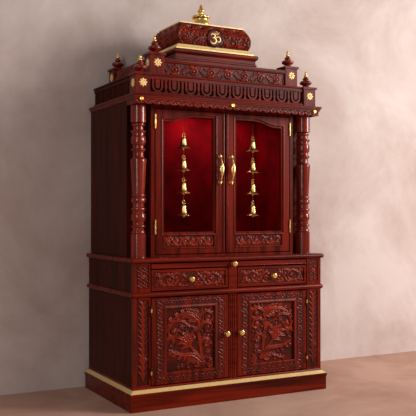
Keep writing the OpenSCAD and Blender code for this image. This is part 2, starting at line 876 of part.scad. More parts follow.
module door_pull(side) {
    pull_x = window_in_x / 2;
    pull_z = (door_z + door_top_z) / 2 + 65;
    half = 63;
    out = 34;
    color("#d9ad4a")
        on_side(side) {
            for (end = [-1, 1])
                translate([pull_x, shrine_front_y, pull_z + end * half])
                    rotate([90, 0, 0])
                        cylinder(r = 7, h = 8);
            for (end = [-1, 1])
                hull() {
                    translate([pull_x, shrine_front_y - 6, pull_z + end * half])
                        sphere(r = 4, $fn = 16);
                    translate([pull_x, shrine_front_y - out + 7, pull_z])
                        sphere(r = 7, $fn = 20);
                }
            hinges_on_door(shrine_hinge_x, shrine_front_y, shrine_hinge_zs, shrine_hinge_h);
        }
}

module hinges_on_door(x, y, zs, h) {
    for (z = zs)
        hinge_moving(x, y - hinge_out, z - h / 2, h);
}

module cupboard_door(side) {
    x0 = stile_w / 2 + gap;
    x1 = inner_x - gap;
    lo = [x0 + (x1 - x0) * panel_margin, cup_z + 58];
    hi = [x1 - (x1 - x0) * panel_margin, rail_z - 57];
    color("#6a2417")
        on_side(side)
            difference() {
                union() {
                    block([x0, front_y, cup_z + gap], [x1, face_back_y, rail_z - gap]);
                    bead_frame(lo - [bead_out, bead_out], hi + [bead_out, bead_out], front_y + 1, bead_out);
                }
                block([lo[0], front_y - bead_out, lo[1]], [hi[0], front_y + panel_d, hi[1]]);
            }
}

// Round knob on a short neck, its foot on the plane y
module knob(x, y, z) {
    translate([x, y, z])
        rotate([90, 0, 0])
            rotate_extrude()
                polygon(concat([[0, 0], [9, 0], [9, 2], [5, 4], [5, 9]],
                    bead(9, 28, 6, knob_r, 10), [[0, 28]]));
}

module cupboard_knob(side) {
    color("#d9ad4a")
        on_side(side) {
            knob(stile_w / 2 + gap + knob_r, front_y, cup_z + knob_share * cup_open_h);
            hinges_on_door(cup_hinge_x, front_y, cup_hinge_zs, cup_hinge_h);
        }
}

module drawer(side) {
    z0 = drawer_z + gap;
    z1 = tray_z - gap;
    edge_x = 14;
    edge_z = 12;
    bead_r = 2.5;
    box_in = drawer_in_x + gap;
    box_out = drawer_out_x - gap;
    back = front_y + drawer_face_t + drawer_d;
    color("#6a2417")
        on_side(side)
            difference() {
                union() {
                    block([drawer_in_x, front_y, z0], [drawer_out_x, front_y + drawer_face_t, z1]);
                    block([box_in, front_y + drawer_face_t - 1, z0], [box_out, back, z0 + drawer_box_h]);
                    bead_frame([drawer_in_x + edge_x - bead_r, z0 + edge_z - bead_r],
                        [drawer_out_x - edge_x + bead_r, z1 - edge_z + bead_r], front_y + 0.5, bead_r);
                }
                block([box_in + drawer_t, front_y + drawer_face_t, z0 + drawer_t / 2],
                    [box_out - drawer_t, back - drawer_t, z0 + drawer_box_h + 1]);
                block([drawer_in_x + edge_x, front_y - bead_r, z0 + edge_z],
                    [drawer_out_x - edge_x, front_y + drawer_panel_d, z1 - edge_z]);
            }
}

module drawer_knob(side) {
    color("#d9ad4a")
        on_side(side)
            knob((drawer_in_x + drawer_out_x) / 2, front_y + drawer_panel_d, (drawer_z + tray_z) / 2);
}

module tray() {
    z0 = tray_z + gap;
    x = inner_x - gap;
    color("#6a2417") {
        block([-x, front_y, z0], [x, front_y + drawer_face_t, waist_z - gap]);
        block([-x, front_y + drawer_face_t - 1, z0], [x, front_y + drawer_d, z0 + tray_t]);
    }
}

module tray_knob() {
    color("#d9ad4a")
        knob(0, front_y, tray_z + gap + 8);
}

plinth();
gilt_bands();
cupboard_floor();
cupboard_side(-1);  // cupboard_side_left
cupboard_side(1);  // cupboard_side_right
cupboard_back();
pilaster(-1);  // pilaster_left
pilaster(1);  // pilaster_right
face_frame();
drawer_deck();
waist_board();
shrine_side(-1);  // shrine_side_left
shrine_side(1);  // shrine_side_right
shrine_back();
shrine_front_frame();
velvet_lining();
column(-1);  // column_left
column(1);  // column_right
bell_strands();
cornice();
cornice_frieze();
posts();
gallery_front();
gallery_sides();
finials();
upper_tier();
roof_deck();
dome_base();
dome();
brass_finials();
hinge_pins();
shrine_door(-1);  // shrine_door_left
shrine_door(1);  // shrine_door_right
door_pull(-1);  // door_pull_left
door_pull(1);  // door_pull_right
cupboard_door(-1);  // cupboard_door_left
cupboard_door(1);  // cupboard_door_right
cupboard_knob(-1);  // cupboard_knob_left
cupboard_knob(1);  // cupboard_knob_right
drawer(-1);  // drawer_left
drawer(1);  // drawer_right
drawer_knob(-1);  // drawer_knob_left
drawer_knob(1);  // drawer_knob_right
tray();
tray_knob();
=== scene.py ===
import math

import bmesh
import bpy
import numpy as np
from mathutils import Matrix, Vector


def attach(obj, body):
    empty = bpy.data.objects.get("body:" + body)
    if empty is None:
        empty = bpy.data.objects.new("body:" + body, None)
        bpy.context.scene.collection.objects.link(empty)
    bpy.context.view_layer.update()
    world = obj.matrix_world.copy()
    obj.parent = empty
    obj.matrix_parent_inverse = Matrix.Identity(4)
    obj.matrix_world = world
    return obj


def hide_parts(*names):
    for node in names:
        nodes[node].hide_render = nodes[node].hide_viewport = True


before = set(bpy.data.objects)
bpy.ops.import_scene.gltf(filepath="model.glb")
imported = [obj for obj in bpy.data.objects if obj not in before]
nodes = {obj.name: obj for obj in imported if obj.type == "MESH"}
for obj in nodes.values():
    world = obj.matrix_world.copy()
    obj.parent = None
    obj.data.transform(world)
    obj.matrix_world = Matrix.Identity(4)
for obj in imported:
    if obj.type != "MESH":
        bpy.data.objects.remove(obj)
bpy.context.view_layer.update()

scene = bpy.context.scene
mm = 0.001

# Camera: left of the front at the height of a seated person's eye, level, with
# the frame raised a little so that the dome and the plinth both show.
eye = bpy.data.cameras.new("eye")
eye.sensor_width = 36
eye.lens = 68.4
eye.shift_y = 0.0168
camera = bpy.data.objects.new("eye", eye)
camera.location = (-1.8872, -3.5520, 0.880)
camera.rotation_euler = (math.radians(90), 0, math.radians(-28.18))
scene.collection.objects.link(camera)
scene.camera = camera
scene.view_settings.view_transform = "Standard"


# Room: a pale floor and a plain plastered wall close behind, which is seen from
# its front alone. The colours are thin washes of one pinkish plaster.
floor_size, wall_size = (12, 6.4), (12, 6)
wall_y = 0.33
floor_gap, wall_foot = 0.001, 0.01


def tone(red, green, blue):
    """A paint colour from its 0 to 255 values, as the shader wants it."""
    steps = [c / 255 for c in (red, green, blue)]
    return tuple(c / 12.92 if c < 0.04045 else ((c + 0.055) / 1.055) ** 2.4 for c in steps) + (1,)


def new_finish(name, **sockets):
    """A material with its shader's sockets set; an underscore stands for a space."""
    finish = bpy.data.materials.new(name)
    finish.use_nodes = True
    tree = finish.node_tree
    shader = tree.nodes["Principled BSDF"]
    for socket, value in sockets.items():
        shader.inputs[socket.replace("_", " ")].default_value = value
    return finish, tree, shader


def added(tree, kind, **sockets):
    """One more node of a material, with its sockets set."""
    node = tree.nodes.new("ShaderNode" + kind)
    for socket, value in sockets.items():
        node.inputs[socket.replace("_", " ")].default_value = value
    return node


def two_tones(tree, low, dark, high, pale):
    """A ramp from a dark to a pale tone."""
    ramp = tree.nodes.new("ShaderNodeValToRGB")
    first, last = ramp.color_ramp.elements
    first.position, first.color = low, dark
    last.position, last.color = high, pale
    return ramp


def plaster(name, pale, worn, seen_from_front):
    """Matt plaster with soft cloudy patches."""
    finish, tree, shader = new_finish(name, Roughness=0.9, Specular_IOR_Level=0.2)
    join = tree.links.new
    place = added(tree, "TexCoord")
    cloud = added(tree, "TexNoise", Scale=1.5, Detail=9, Roughness=0.66, Distortion=0.5)
    ramp = two_tones(tree, 0.34, worn, 0.62, pale)
    trowel = added(tree, "Bump", Strength=0.3, Distance=0.004)
    join(place.outputs["Object"], cloud.inputs["Vector"])
    join(cloud.outputs["Fac"], ramp.inputs["Fac"])
    join(ramp.outputs["Color"], shader.inputs["Base Color"])
    join(cloud.outputs["Fac"], trowel.inputs["Height"])
    join(trowel.outputs["Normal"], shader.inputs["Normal"])
    if seen_from_front:
        clear = added(tree, "BsdfTransparent")
        facing = added(tree, "NewGeometry")
        choose = added(tree, "MixShader")
        join(facing.outputs["Backfacing"], choose.inputs["Fac"])
        join(shader.outputs["BSDF"], choose.inputs[1])
        join(clear.outputs["BSDF"], choose.inputs[2])
        join(choose.outputs["Shader"], tree.nodes["Material Output"].inputs["Surface"])
    return finish


def room_board(name, size, turn, place, finish):
    """A flat board of the room."""
    board = bmesh.new()
    bmesh.ops.create_grid(board, x_segments=2, y_segments=2, size=0.5)
    bmesh.ops.scale(board, vec=(size[0], size[1], 1), verts=board.verts)
    bmesh.ops.rotate(board, cent=(0, 0, 0), matrix=Matrix.Rotation(turn, 3, "X"), verts=board.verts)
    bmesh.ops.translate(board, vec=place, verts=board.verts)
    mesh = bpy.data.meshes.new(name)
    board.to_mesh(mesh)
    board.free()
    mesh.materials.append(finish)
    made = bpy.data.objects.new(name, mesh)
    scene.collection.objects.link(made)
    return made


room_board("floor", floor_size, 0, (0, wall_y - floor_size[1] / 2, -floor_gap),
           plaster("floor_plaster", tone(206, 166, 147), tone(178, 136, 118), False))
room_board("wall", wall_size, math.radians(90), (0, wall_y, wall_size[1] / 2 - wall_foot),
           plaster("wall_plaster", tone(220, 206, 201), tone(193, 173, 165), True))


# Studio light: a large soft window on the right, a weak one on the left and a high
# one that gives the roof its sheen, an even pale surround, and two small warm lamps
# that graze the shrine's lining.
day, evening = (1, 0.96, 0.92), (1, 0.6, 0.64)
glow_places = (0.03, 0.28)
level_on_matt, level_in_gloss = 0.17, 0.22


def soft_window(name, place, aim, size, power, tint):
    """A soft lamp that points at a place and is never seen itself."""
    lamp = bpy.data.lights.new(name, "AREA")
    lamp.shape = "RECTANGLE"
    lamp.size, lamp.size_y = size
    lamp.energy = power
    lamp.color = tint
    made = bpy.data.objects.new(name, lamp)
    made.location = place
    made.rotation_euler = (Vector(aim) - Vector(place)).to_track_quat("-Z", "Y").to_euler()
    made.visible_camera = False
    scene.collection.objects.link(made)
    return made


soft_window("window_right", (3.6, -2.7, 2.3), (0, 0, 1.0), (1.5, 2.0), 190, day)
soft_window("window_left", (-2.9, -2.8, 1.7), (0, 0, 1.0), (0.45, 2.2), 26, (1, 0.95, 0.92))
soft_window("window_high", (2.9, -4.4, 2.8), (0.1, 0, 1.6), (2.0, 0.9), 28, (1, 0.93, 0.9))
for x in glow_places:
    soft_window("shrine_glow", (x, 0.17, 1.392), (x, 0.287, 1.12), (0.12, 0.04), 0.32, evening)
surround = bpy.data.worlds.new("surround")
surround.use_nodes = True
surround.node_tree.nodes["Background"].inputs["Color"].default_value = (0.95, 0.88, 0.84, 1)
sky = surround.node_tree.nodes["Background"]
seen = surround.node_tree.nodes.new("ShaderNodeLightPath")
level_of = surround.node_tree.nodes.new("ShaderNodeMapRange")
level_of.inputs["To Min"].default_value = level_on_matt
level_of.inputs["To Max"].default_value = level_in_gloss
surround.node_tree.links.new(seen.outputs["Is Glossy Ray"], level_of.inputs["Value"])
surround.node_tree.links.new(level_of.outputs["Result"], sky.inputs["Strength"])
scene.world = surround


# Carcass: boards of a dense red hardwood, stained dark mahogany and lacquered, the
# sides browner than the front and held darker as painted shade. Grain runs along
# each board, so each direction has its own finish.
def mixed(tree, way, share, first, second):
    """Two colours mixed in a material; the share is a number or a socket."""
    mix = tree.nodes.new("ShaderNodeMix")
    mix.data_type = "RGBA"
    mix.blend_type = way
    if isinstance(share, float):
        mix.inputs["Factor"].default_value = share
    else:
        tree.links.new(share, mix.inputs["Factor"])
    tree.links.new(first, mix.inputs["A"])
    if isinstance(second, tuple):
        mix.inputs["B"].default_value = second
    else:
        tree.links.new(second, mix.inputs["B"])
    return mix.outputs["Result"]


def stained_wood(name, grain, ridge, valley, relief=False, gloss=0.27, coat=0.08, glint=0.14):
    """Lacquered wood with its grain along X, Y or Z; carved wood has painted shade in its ground."""
    finish, tree, shader = new_finish(name, Coat_Weight=coat, Coat_Roughness=0.12,
                                      Specular_IOR_Level=glint)
    join = tree.links.new
    place = added(tree, "TexCoord").outputs["Object"]
    stretch = added(tree, "Mapping", Scale=[1.3 if axis == grain else 22 for axis in "XYZ"])
    figure = added(tree, "TexNoise", Scale=1.6, Detail=5, Roughness=0.55, Distortion=0.6)
    pores_stretch = added(tree, "Mapping", Scale=[16 if axis == grain else 420 for axis in "XYZ"])
    pores = added(tree, "TexNoise", Scale=1.5, Detail=3)
    ramp = two_tones(tree, 0.3, valley, 0.66, ridge)
    join(place, stretch.inputs["Vector"])
    join(place, pores_stretch.inputs["Vector"])
    join(stretch.outputs["Vector"], figure.inputs["Vector"])
    join(pores_stretch.outputs["Vector"], pores.inputs["Vector"])
    join(figure.outputs["Fac"], ramp.inputs["Fac"])
    colour = mixed(tree, "MULTIPLY", 0.5, ramp.outputs["Color"], pores.outputs["Fac"])
    sheen = added(tree, "MapRange", To_Min=gloss - 0.07, To_Max=gloss + 0.1)
    if relief:
        # Painted shade: the low ground of a carving is coloured darker than its raised work, where shade
        # falls in the hollows.
        carved = added(tree, "Attribute")
        carved.attribute_name = "relief"
        painted_shade = two_tones(tree, 0.0, (0.34, 0.25, 0.2, 1), 0.62, (1, 1, 1, 1))
        join(carved.outputs["Fac"], painted_shade.inputs["Fac"])
        colour = mixed(tree, "MULTIPLY", 1.0, colour, painted_shade.outputs["Color"])
        sheen.inputs["To Min"].default_value = gloss + 0.2
        sheen.inputs["To Max"].default_value = gloss
    join(colour, shader.inputs["Base Color"])
    join((carved if relief else figure).outputs["Fac"], sheen.inputs["Value"])
    join(sheen.outputs["Result"], shader.inputs["Roughness"])
    dents = added(tree, "Bump", Strength=0.12, Distance=0.0006)
    join(pores.outputs["Fac"], dents.inputs["Height"])
    join(dents.outputs["Normal"], shader.inputs["Normal"])
    return finish


red, red_dark = tone(142, 32, 7), tone(66, 11, 2)
# The sides' browner stain is painted darker too: painted shade on the sides.
brown, brown_dark = tone(92, 26, 9), tone(36, 8, 2)
upright = stained_wood("mahogany_upright", "Z", red, red_dark)
level = stained_wood("mahogany_level", "X", red, red_dark)
side_wood_painted_shade = stained_wood("side_mahogany_painted_shade", "Z", brown, brown_dark, gloss=0.36, coat=0.02, glint=0.05)


def finish_node(finish, *names):
    """Gives solids of the frame their finish, and leaves their meshes alone."""
    for name in names:
        node = nodes[name]
        if not node.material_slots:
            node.data.materials.append(finish)
        for place in node.material_slots:
            place.link = "OBJECT"
            place.material = finish


finish_node(level, "plinth", "cupboard_floor", "face_frame", "waist_board")
finish_node(side_wood_painted_shade, "cupboard_side_left", "cupboard_side_right", "cupboard_back",
            "shrine_side_left", "shrine_side_right", "shrine_back")
finish_node(upright, "shrine_front_frame")


# Columns: turned from one length of the same wood, and polished on the lathe, so
# they shine more than the boards.
polished = stained_wood("polished_mahogany", "Z", tone(160, 41, 11), tone(84, 16, 4), gloss=0.16,
                        coat=0.22, glint=0.4)
finish_node(polished, "column_left", "column_right")


# Gilt bands: gold paint over primed wood on the plinth's slope and on the steps
# under the dome, thin and a little uneven.
def metal(name, bright, dull, rough, worn_scale, share=1.0, darker_below=None):
    """Brass or gilt, its colour and polish varied by handling, darker below the height darker_below."""
    finish, tree, shader = new_finish(name, Metallic=share)
    join = tree.links.new
    place = added(tree, "TexCoord").outputs["Object"]
    wear = added(tree, "TexNoise", Scale=worn_scale, Detail=5, Roughness=0.6)
    ramp = two_tones(tree, 0.3, dull, 0.6, bright)
    polish = added(tree, "MapRange", To_Min=rough + 0.12, To_Max=rough - 0.04)
    join(place, wear.inputs["Vector"])
    join(wear.outputs["Fac"], ramp.inputs["Fac"])
    join(wear.outputs["Fac"], polish.inputs["Value"])
    colour = ramp.outputs["Color"]
    # Below the height darker_below the colour is mixed with a dark brass.
    if darker_below:
        split = added(tree, "SeparateXYZ")
        under = added(tree, "Math")
        under.operation = "LESS_THAN"
        under.inputs[1].default_value = darker_below
        join(place, split.inputs["Vector"])
        join(split.outputs["Z"], under.inputs[0])
        colour = mixed(tree, "MIX", under.outputs["Value"], colour, tone(92, 62, 28))
    join(colour, shader.inputs["Base Color"])
    join(polish.outputs["Result"], shader.inputs["Roughness"])
    return finish


gilt = metal("gilt_paint", tone(255, 222, 154), tone(246, 200, 124), 0.34, 60, 0.3)
finish_node(gilt, "gilt_bands")


# Pilasters: leaves carved in the sunk panels of the corner boards, a long drop beside
# the cupboard and a short one beside the drawers. Each carving is a fine grid raised
# by strokes of the chisel, with thin edges and a flat back let into the wood.
pilaster_x, pilaster_face = 467, -278
pilaster_wide, pilaster_cell = 55, 1.5
long_drop, long_drop_z, bud_place = 383, 305.5, -72
short_drop, short_drop_z = 103, 601.5
let_in, skin, leaf_edge = 0.4, 0.25, 60
carved_upright = stained_wood("carved_upright", "Z", tone(156, 41, 13), tone(86, 18, 5), relief=True,
                              gloss=0.3, coat=0.14, glint=0.12)


def blank(width, height, cell):
    """Ground of a carving, in millimetres about its middle."""
    across = np.linspace(-width / 2, width / 2, max(2, round(width / cell)) + 1)
    up = np.linspace(-height / 2, height / 2, max(2, round(height / cell)) + 1)
    return {"x": across, "z": up, "h": np.zeros((len(up), len(across)))}


def ridge(work, path, half_width, rise, vein=0.0, lobes=0):
    """A rounded ridge along a path, with an optional middle groove and lobed edges."""
    path = np.array(path, float)
    half = np.interp(np.linspace(0, 1, len(path)), np.linspace(0, 1, len(half_width)), half_width)
    reach = half.max()
    i0, i1 = np.searchsorted(work["x"], [path[:, 0].min() - reach, path[:, 0].max() + reach])
    j0, j1 = np.searchsorted(work["z"], [path[:, 1].min() - reach, path[:, 1].max() + reach])
    if i1 <= i0 or j1 <= j0:
        return
    gx, gz = np.meshgrid(work["x"][i0:i1], work["z"][j0:j1])
    point = np.stack([gx.ravel(), gz.ravel()], 1)[:, None, :]
    start, run = path[:-1][None], (path[1:] - path[:-1])[None]
    part = np.clip(((point - start) * run).sum(2) / np.maximum((run ** 2).sum(2), 1e-9), 0, 1)
    gap = np.sqrt(((point - start - part[..., None] * run) ** 2).sum(2))
    near = gap.argmin(1)
    pick = np.arange(len(near))
    along = (near + part[pick, near]) / (len(path) - 1)
    wide = np.interp(along, np.linspace(0, 1, len(half)), half)
    if lobes:
        wide = wide * (0.66 + 0.34 * np.abs(np.sin(math.pi * lobes * along)) ** 0.7)
    share = gap[pick, near] / np.maximum(wide, 1e-6)
    height = rise * np.sqrt(np.clip(1 - share ** 2, 0, 1)) ** 0.8
    height *= 0.55 + 0.45 * np.minimum(1, wide / (0.6 * reach))
    if vein:
        height *= 1 - vein * np.exp(-((share / 0.24) ** 2))
    if lobes:
        height *= 1 - 0.3 * np.exp(-((np.sin(math.pi * (lobes * along - 0.9 * share)) / 0.3) ** 2))
    spot = work["h"][j0:j1, i0:i1]
    np.maximum(spot, height.reshape(spot.shape), out=spot)


def curve(start, end, bend, count=14):
    """Points of a bowed line; bend is the bow's height as a share of its length."""
    (x0, z0), (x1, z1) = start, end
    mid = ((x0 + x1) / 2 - bend * (z1 - z0) * 2, (z0 + z1) / 2 + bend * (x1 - x0) * 2)
    return [((1 - t) ** 2 * x0 + 2 * t * (1 - t) * mid[0] + t * t * x1,
             (1 - t) ** 2 * z0 + 2 * t * (1 - t) * mid[1] + t * t * z1)
            for t in np.linspace(0, 1, count)]


def leaf(work, start, end, bend, width, rise=6, lobes=4):
    """A lobed leaf with a middle rib cut in."""
    ridge(work, curve(start, end, bend), [width * 0.35, width, width * 0.95, width * 0.7, width * 0.12],
          rise, vein=0.4, lobes=lobes)


def dot(work, x, z, radius, rise=6):
    """A round button."""
    ridge(work, [(x - 0.1, z), (x + 0.1, z)], [radius, radius], rise)


def flower(work, x, z, radius, petals, rise=6, button=0.3):
    """An open flower: petals with a groove between them round a raised button."""
    i0, i1 = np.searchsorted(work["x"], [x - radius, x + radius])
    j0, j1 = np.searchsorted(work["z"], [z - radius, z + radius])
    gx, gz = np.meshgrid(work["x"][i0:i1] - x, work["z"][j0:j1] - z)
    turn, out = np.arctan2(gz, gx), np.hypot(gx, gz) / radius
    petal = np.abs(np.cos(petals * turn / 2))
    bowl = rise * np.clip(1 - (out / (0.62 + 0.38 * petal)) ** 4, 0, 1) ** 0.6 * (0.55 + 0.45 * out)
    bowl *= 1 - 0.5 * np.exp(-((petal / 0.25) ** 2))
    heart = rise * 1.05 * np.sqrt(np.clip(1 - (out / button) ** 2, 0, 1))
    spot = work["h"][j0:j1, i0:i1]
    np.maximum(spot, np.maximum(bowl, heart), out=spot)


def leaf_band(work, length, height, pitch, rise=3):
    """A close band of small turned leaves, curls and buttons, no two quite the same."""
    rng = np.random.default_rng(round(length + height))
    count = max(2, round(length / pitch))
    step = length / count
    for k in range(count):
        x = -length / 2 + (k + 0.5) * step
        hand = 1 if k % 2 else -1
        slip, lift = rng.uniform(-0.12, 0.12, 2)
        leaf(work, (x - 0.5 * step, -hand * 0.3 * height),
             (x + (0.4 + slip) * step, hand * (0.3 + lift) * height), hand * 0.26, 0.13 * height, rise, 0)
        leaf(work, (x - 0.1 * step, -hand * 0.1 * height), (x + 0.4 * step, -hand * (0.44 - lift) * height),
             -hand * 0.24, 0.11 * height, rise * rng.uniform(0.6, 1), 0)
        leaf(work, (x - 0.25 * step, hand * 0.1 * height), (x - (0.5 + slip) * step, hand * 0.45 * height),
             hand * 0.24, 0.1 * height, rise * rng.uniform(0.6, 1), 0)
        leaf(work, (x + 0.1 * step, hand * 0.2 * height), (x + 0.1 * step, hand * 0.47 * height), 0.2,
             0.08 * height, rise * 0.7, 0)
        dot(work, x + (0.44 + slip) * step, hand * (0.04 + lift) * height, 0.1 * height,
            rise * rng.uniform(0.7, 1))


def leaf_column(work, length, width, pitch, rise=4, bud=None):
    """Pairs of leaves up a strip from its foot to its head, with a bud on the way."""
    count = max(1, round(length / pitch))
    step = length / count
    for k in range(count):
        z = -length / 2 + k * step
        for side in (-1, 1):
            leaf(work, (side * 1.2, z + 0.05 * step), (side * 0.43 * width, z + 1.65 * step), side * 0.14,
                 0.1 * width, rise, 0)
            leaf(work, (side * 1.2, z + 0.6 * step), (side * 0.22 * width, z + 1.5 * step), side * 0.1,
                 0.06 * width, rise * 0.85, 0)
        leaf(work, (0, z + 0.3 * step), (0, z + 1.15 * step), 0, 0.07 * width, rise * 0.9, 0)
    if bud is not None:
        flower(work, 0, bud, 0.3 * width, 6, rise * 1.3)
        for side in (-1, 1):
            leaf(work, (0, bud - 0.9 * step), (side * 0.4 * width, bud - 0.1 * step), side * 0.24,
                 0.14 * width, rise * 1.15, 2)


def aside(work, x, z, upright=False):
    """Part of a carving seen about its own middle, turned a quarter where it stands upright."""
    if upright:
        return {"x": work["z"] - z, "z": work["x"] - x, "h": work["h"].T}
    return {"x": work["x"] - x, "z": work["z"] - z, "h": work["h"]}


def front_face(x, y, z, side=1):
    """Place of a carving on a front face at y, on the right or mirrored to the left."""
    return lambda u, w, h: (side * (x + u), y - h, z + w)


def signed_volume(mesh):
    """Volume inside a mesh, below zero where its faces point inwards."""
    mesh.calc_loop_triangles()
    spots = np.empty(len(mesh.vertices) * 3)
    mesh.vertices.foreach_get("co", spots)
    corners = np.empty(len(mesh.loop_triangles) * 3, dtype=np.int32)
    mesh.loop_triangles.foreach_get("vertices", corners)
    three = spots.reshape(-1, 3)[corners.reshape(-1, 3)]
    return (three[:, 0] * np.cross(three[:, 1], three[:, 2])).sum() / 6


def fit(mesh, name, finish, body):
    """Fixes a finished mesh to its body of the cabinet."""
    mesh.materials.append(finish)
    made = bpy.data.objects.new(name, mesh)
    scene.collection.objects.link(made)
    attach(made, body)
    return made


def carve(name, work, place, finish, body, keep=None):
    """Makes the carved board and lets its flat back a little way into the wood behind."""
    across, up = work["x"], work["z"]
    rows, columns = work["h"].shape
    board = bmesh.new()
    bmesh.ops.create_grid(board, x_segments=columns - 1, y_segments=rows - 1, size=0.5)
    if keep:
        gone = []
        for face in board.faces:
            spot = face.calc_center_median()
            if not keep(spot.x * (across[-1] - across[0]), spot.y * (up[-1] - up[0])):
                gone.append(face)
        bmesh.ops.delete(board, geom=gone, context="FACES")
    rim = [edge for edge in board.edges if edge.is_boundary]
    wall = bmesh.ops.extrude_edge_only(board, edges=rim)["geom"]
    lowered = [part for part in wall if isinstance(part, bmesh.types.BMVert)]
    bmesh.ops.translate(board, vec=(0, 0, -1), verts=lowered)
    bmesh.ops.triangle_fill(board, edges=[edge for edge in board.edges if edge.is_boundary], use_beauty=True)
    bmesh.ops.recalc_face_normals(board, faces=board.faces)
    mesh = bpy.data.meshes.new(name)
    board.to_mesh(mesh)
    board.free()
    spots = np.empty(len(mesh.vertices) * 3)
    mesh.vertices.foreach_get("co", spots)
    spots = spots.reshape(-1, 3)
    column = np.rint((spots[:, 0] + 0.5) * (columns - 1)).astype(int)
    row = np.rint((spots[:, 1] + 0.5) * (rows - 1)).astype(int)
    raised = work["h"][row, column]
    height = np.where(spots[:, 2] < -0.5, -let_in, raised + skin)
    set_at = place(across[column], up[row], height)
    placed = np.stack([np.broadcast_to(value, raised.shape) for value in set_at], 1) * mm
    mesh.vertices.foreach_set("co", placed.ravel())
    mesh.attributes.new("relief", "FLOAT", "POINT").data.foreach_set(
        "value", (raised / max(raised.max(), 1e-6)).astype(np.float32))
    mesh.update()
    if signed_volume(mesh) < 0:
        mesh.flip_normals()
    mesh.shade_smooth()
    mesh.set_sharp_from_angle(angle=math.radians(leaf_edge))
    return fit(mesh, name, finish, body)


finish_node(upright, "pilaster_left", "pilaster_right")
for side, hand in (("left", -1), ("right", 1)):
    low = blank(pilaster_wide, long_drop, pilaster_cell)
    leaf_column(low, 350, 53, 27, 3.6, bud=bud_place)
    carve("pilaster_leaves_" + side, low, front_face(pilaster_x, pilaster_face, long_drop_z, hand),
          carved_upright, "root")
    high = blank(pilaster_wide, short_drop, pilaster_cell)
    for lean in (-1, 1):
        leaf_band(aside(high, lean * 13, 0, True), 98, 25, 16, 3.6)
    flower(high, 0, 0, 15, 6, 4.6)
    carve("pilaster_tops_" + side, high, front_face(pilaster_x, pilaster_face, short_drop_z, hand),
          carved_upright, "root")


# Cupboard doors: framed doors with a rising stem, scrolls and flowers carved in the
# sunk middle and a border of leaves round it, worked in the solid wood. The strokes
# are in millimetres from the panel's middle.
door_x, door_z = 224.75, 306
door_face, sunk_face = -282, -274
sunk_wide, sunk_high = 246, 286
border_wide, border_high = 354, 376
recess_x, recess_z, moulding_wide = 128, 148, 14
carved_level = stained_wood("carved_level", "X", tone(168, 46, 14), tone(92, 20, 5), relief=True,
                            gloss=0.24, coat=0.18, glint=0.12)


def trail(points, count=9):
    """A smooth line through points."""
    spots = np.array(points, float)
    spots = np.vstack([2 * spots[0] - spots[1], spots, 2 * spots[-1] - spots[-2]])
    t = np.linspace(0, 1, count, endpoint=False)[:, None]
    line = []
    for a, b, c, d in zip(spots, spots[1:], spots[2:], spots[3:]):
        square, cube = 2 * a - 5 * b + 4 * c - d, 3 * b - a - 3 * c + d
        line.append(0.5 * (2 * b + (c - a) * t + square * t ** 2 + cube * t ** 3))
    return np.vstack(line + [spots[-2:-1]])


def headings(path):
    """Unit steps along a line."""
    steps = np.gradient(path, axis=0)
    return steps / np.maximum(np.hypot(steps[:, 0], steps[:, 1]), 1e-6)[:, None]


def frond(work, points, width, rise=6, lobes=5, sides=(-1, 1), reach=2.6, lean=0.75):
    """An acanthus leaf: a swept rib with lobes that bend forward on one or both sides."""
    path = trail(points)
    steps = headings(path)
    for k in range(lobes):
        share = 0.06 + 0.86 * k / max(1, lobes - 1)
        spot = round(share * (len(path) - 1))
        for side in sides:
            out = side * np.array([-steps[spot][1], steps[spot][0]])
            tip = path[spot] + width * reach * (1.15 - 0.6 * share) * (lean * steps[spot] + out)
            leaf(work, path[spot], tip, side * 0.2, width * 0.85, rise * 0.82, 0)
    ridge(work, path, [width, width * 0.95, width * 0.7, width * 0.3], rise, vein=0.5)


def branch(work, points, centre, hand, width, rise=6, lobes=4, turns=1.15):
    """A stem that winds into a scroll round a button, with leaves along its outer side."""
    away = np.array(points[-1], float) - centre
    share = np.linspace(0, 1, 26)[1:, None]
    angle = np.arctan2(away[1], away[0]) + hand * 2 * math.pi * turns * share
    coil = np.array(centre) + np.hypot(*away) * (1 - 0.76 * share) * np.hstack([np.cos(angle), np.sin(angle)])
    path = np.vstack([trail(points), coil])
    steps = headings(path)
    for k in range(lobes):
        spot = round((0.16 + 0.56 * k / lobes) * (len(path) - 1))
        out = -hand * np.array([-steps[spot][1], steps[spot][0]])
        tip = path[spot] + width * 2 * (0.95 * steps[spot] + out)
        leaf(work, path[spot], tip, -hand * 0.22, width * 0.8, rise * 0.82, 0)
    ridge(work, path, [width * 0.8, width, width * 0.85, width * 0.6], rise, vein=0.45)
    dot(work, centre[0], centre[1], width * 0.75 + np.hypot(*away) * 0.14, rise * 1.08)


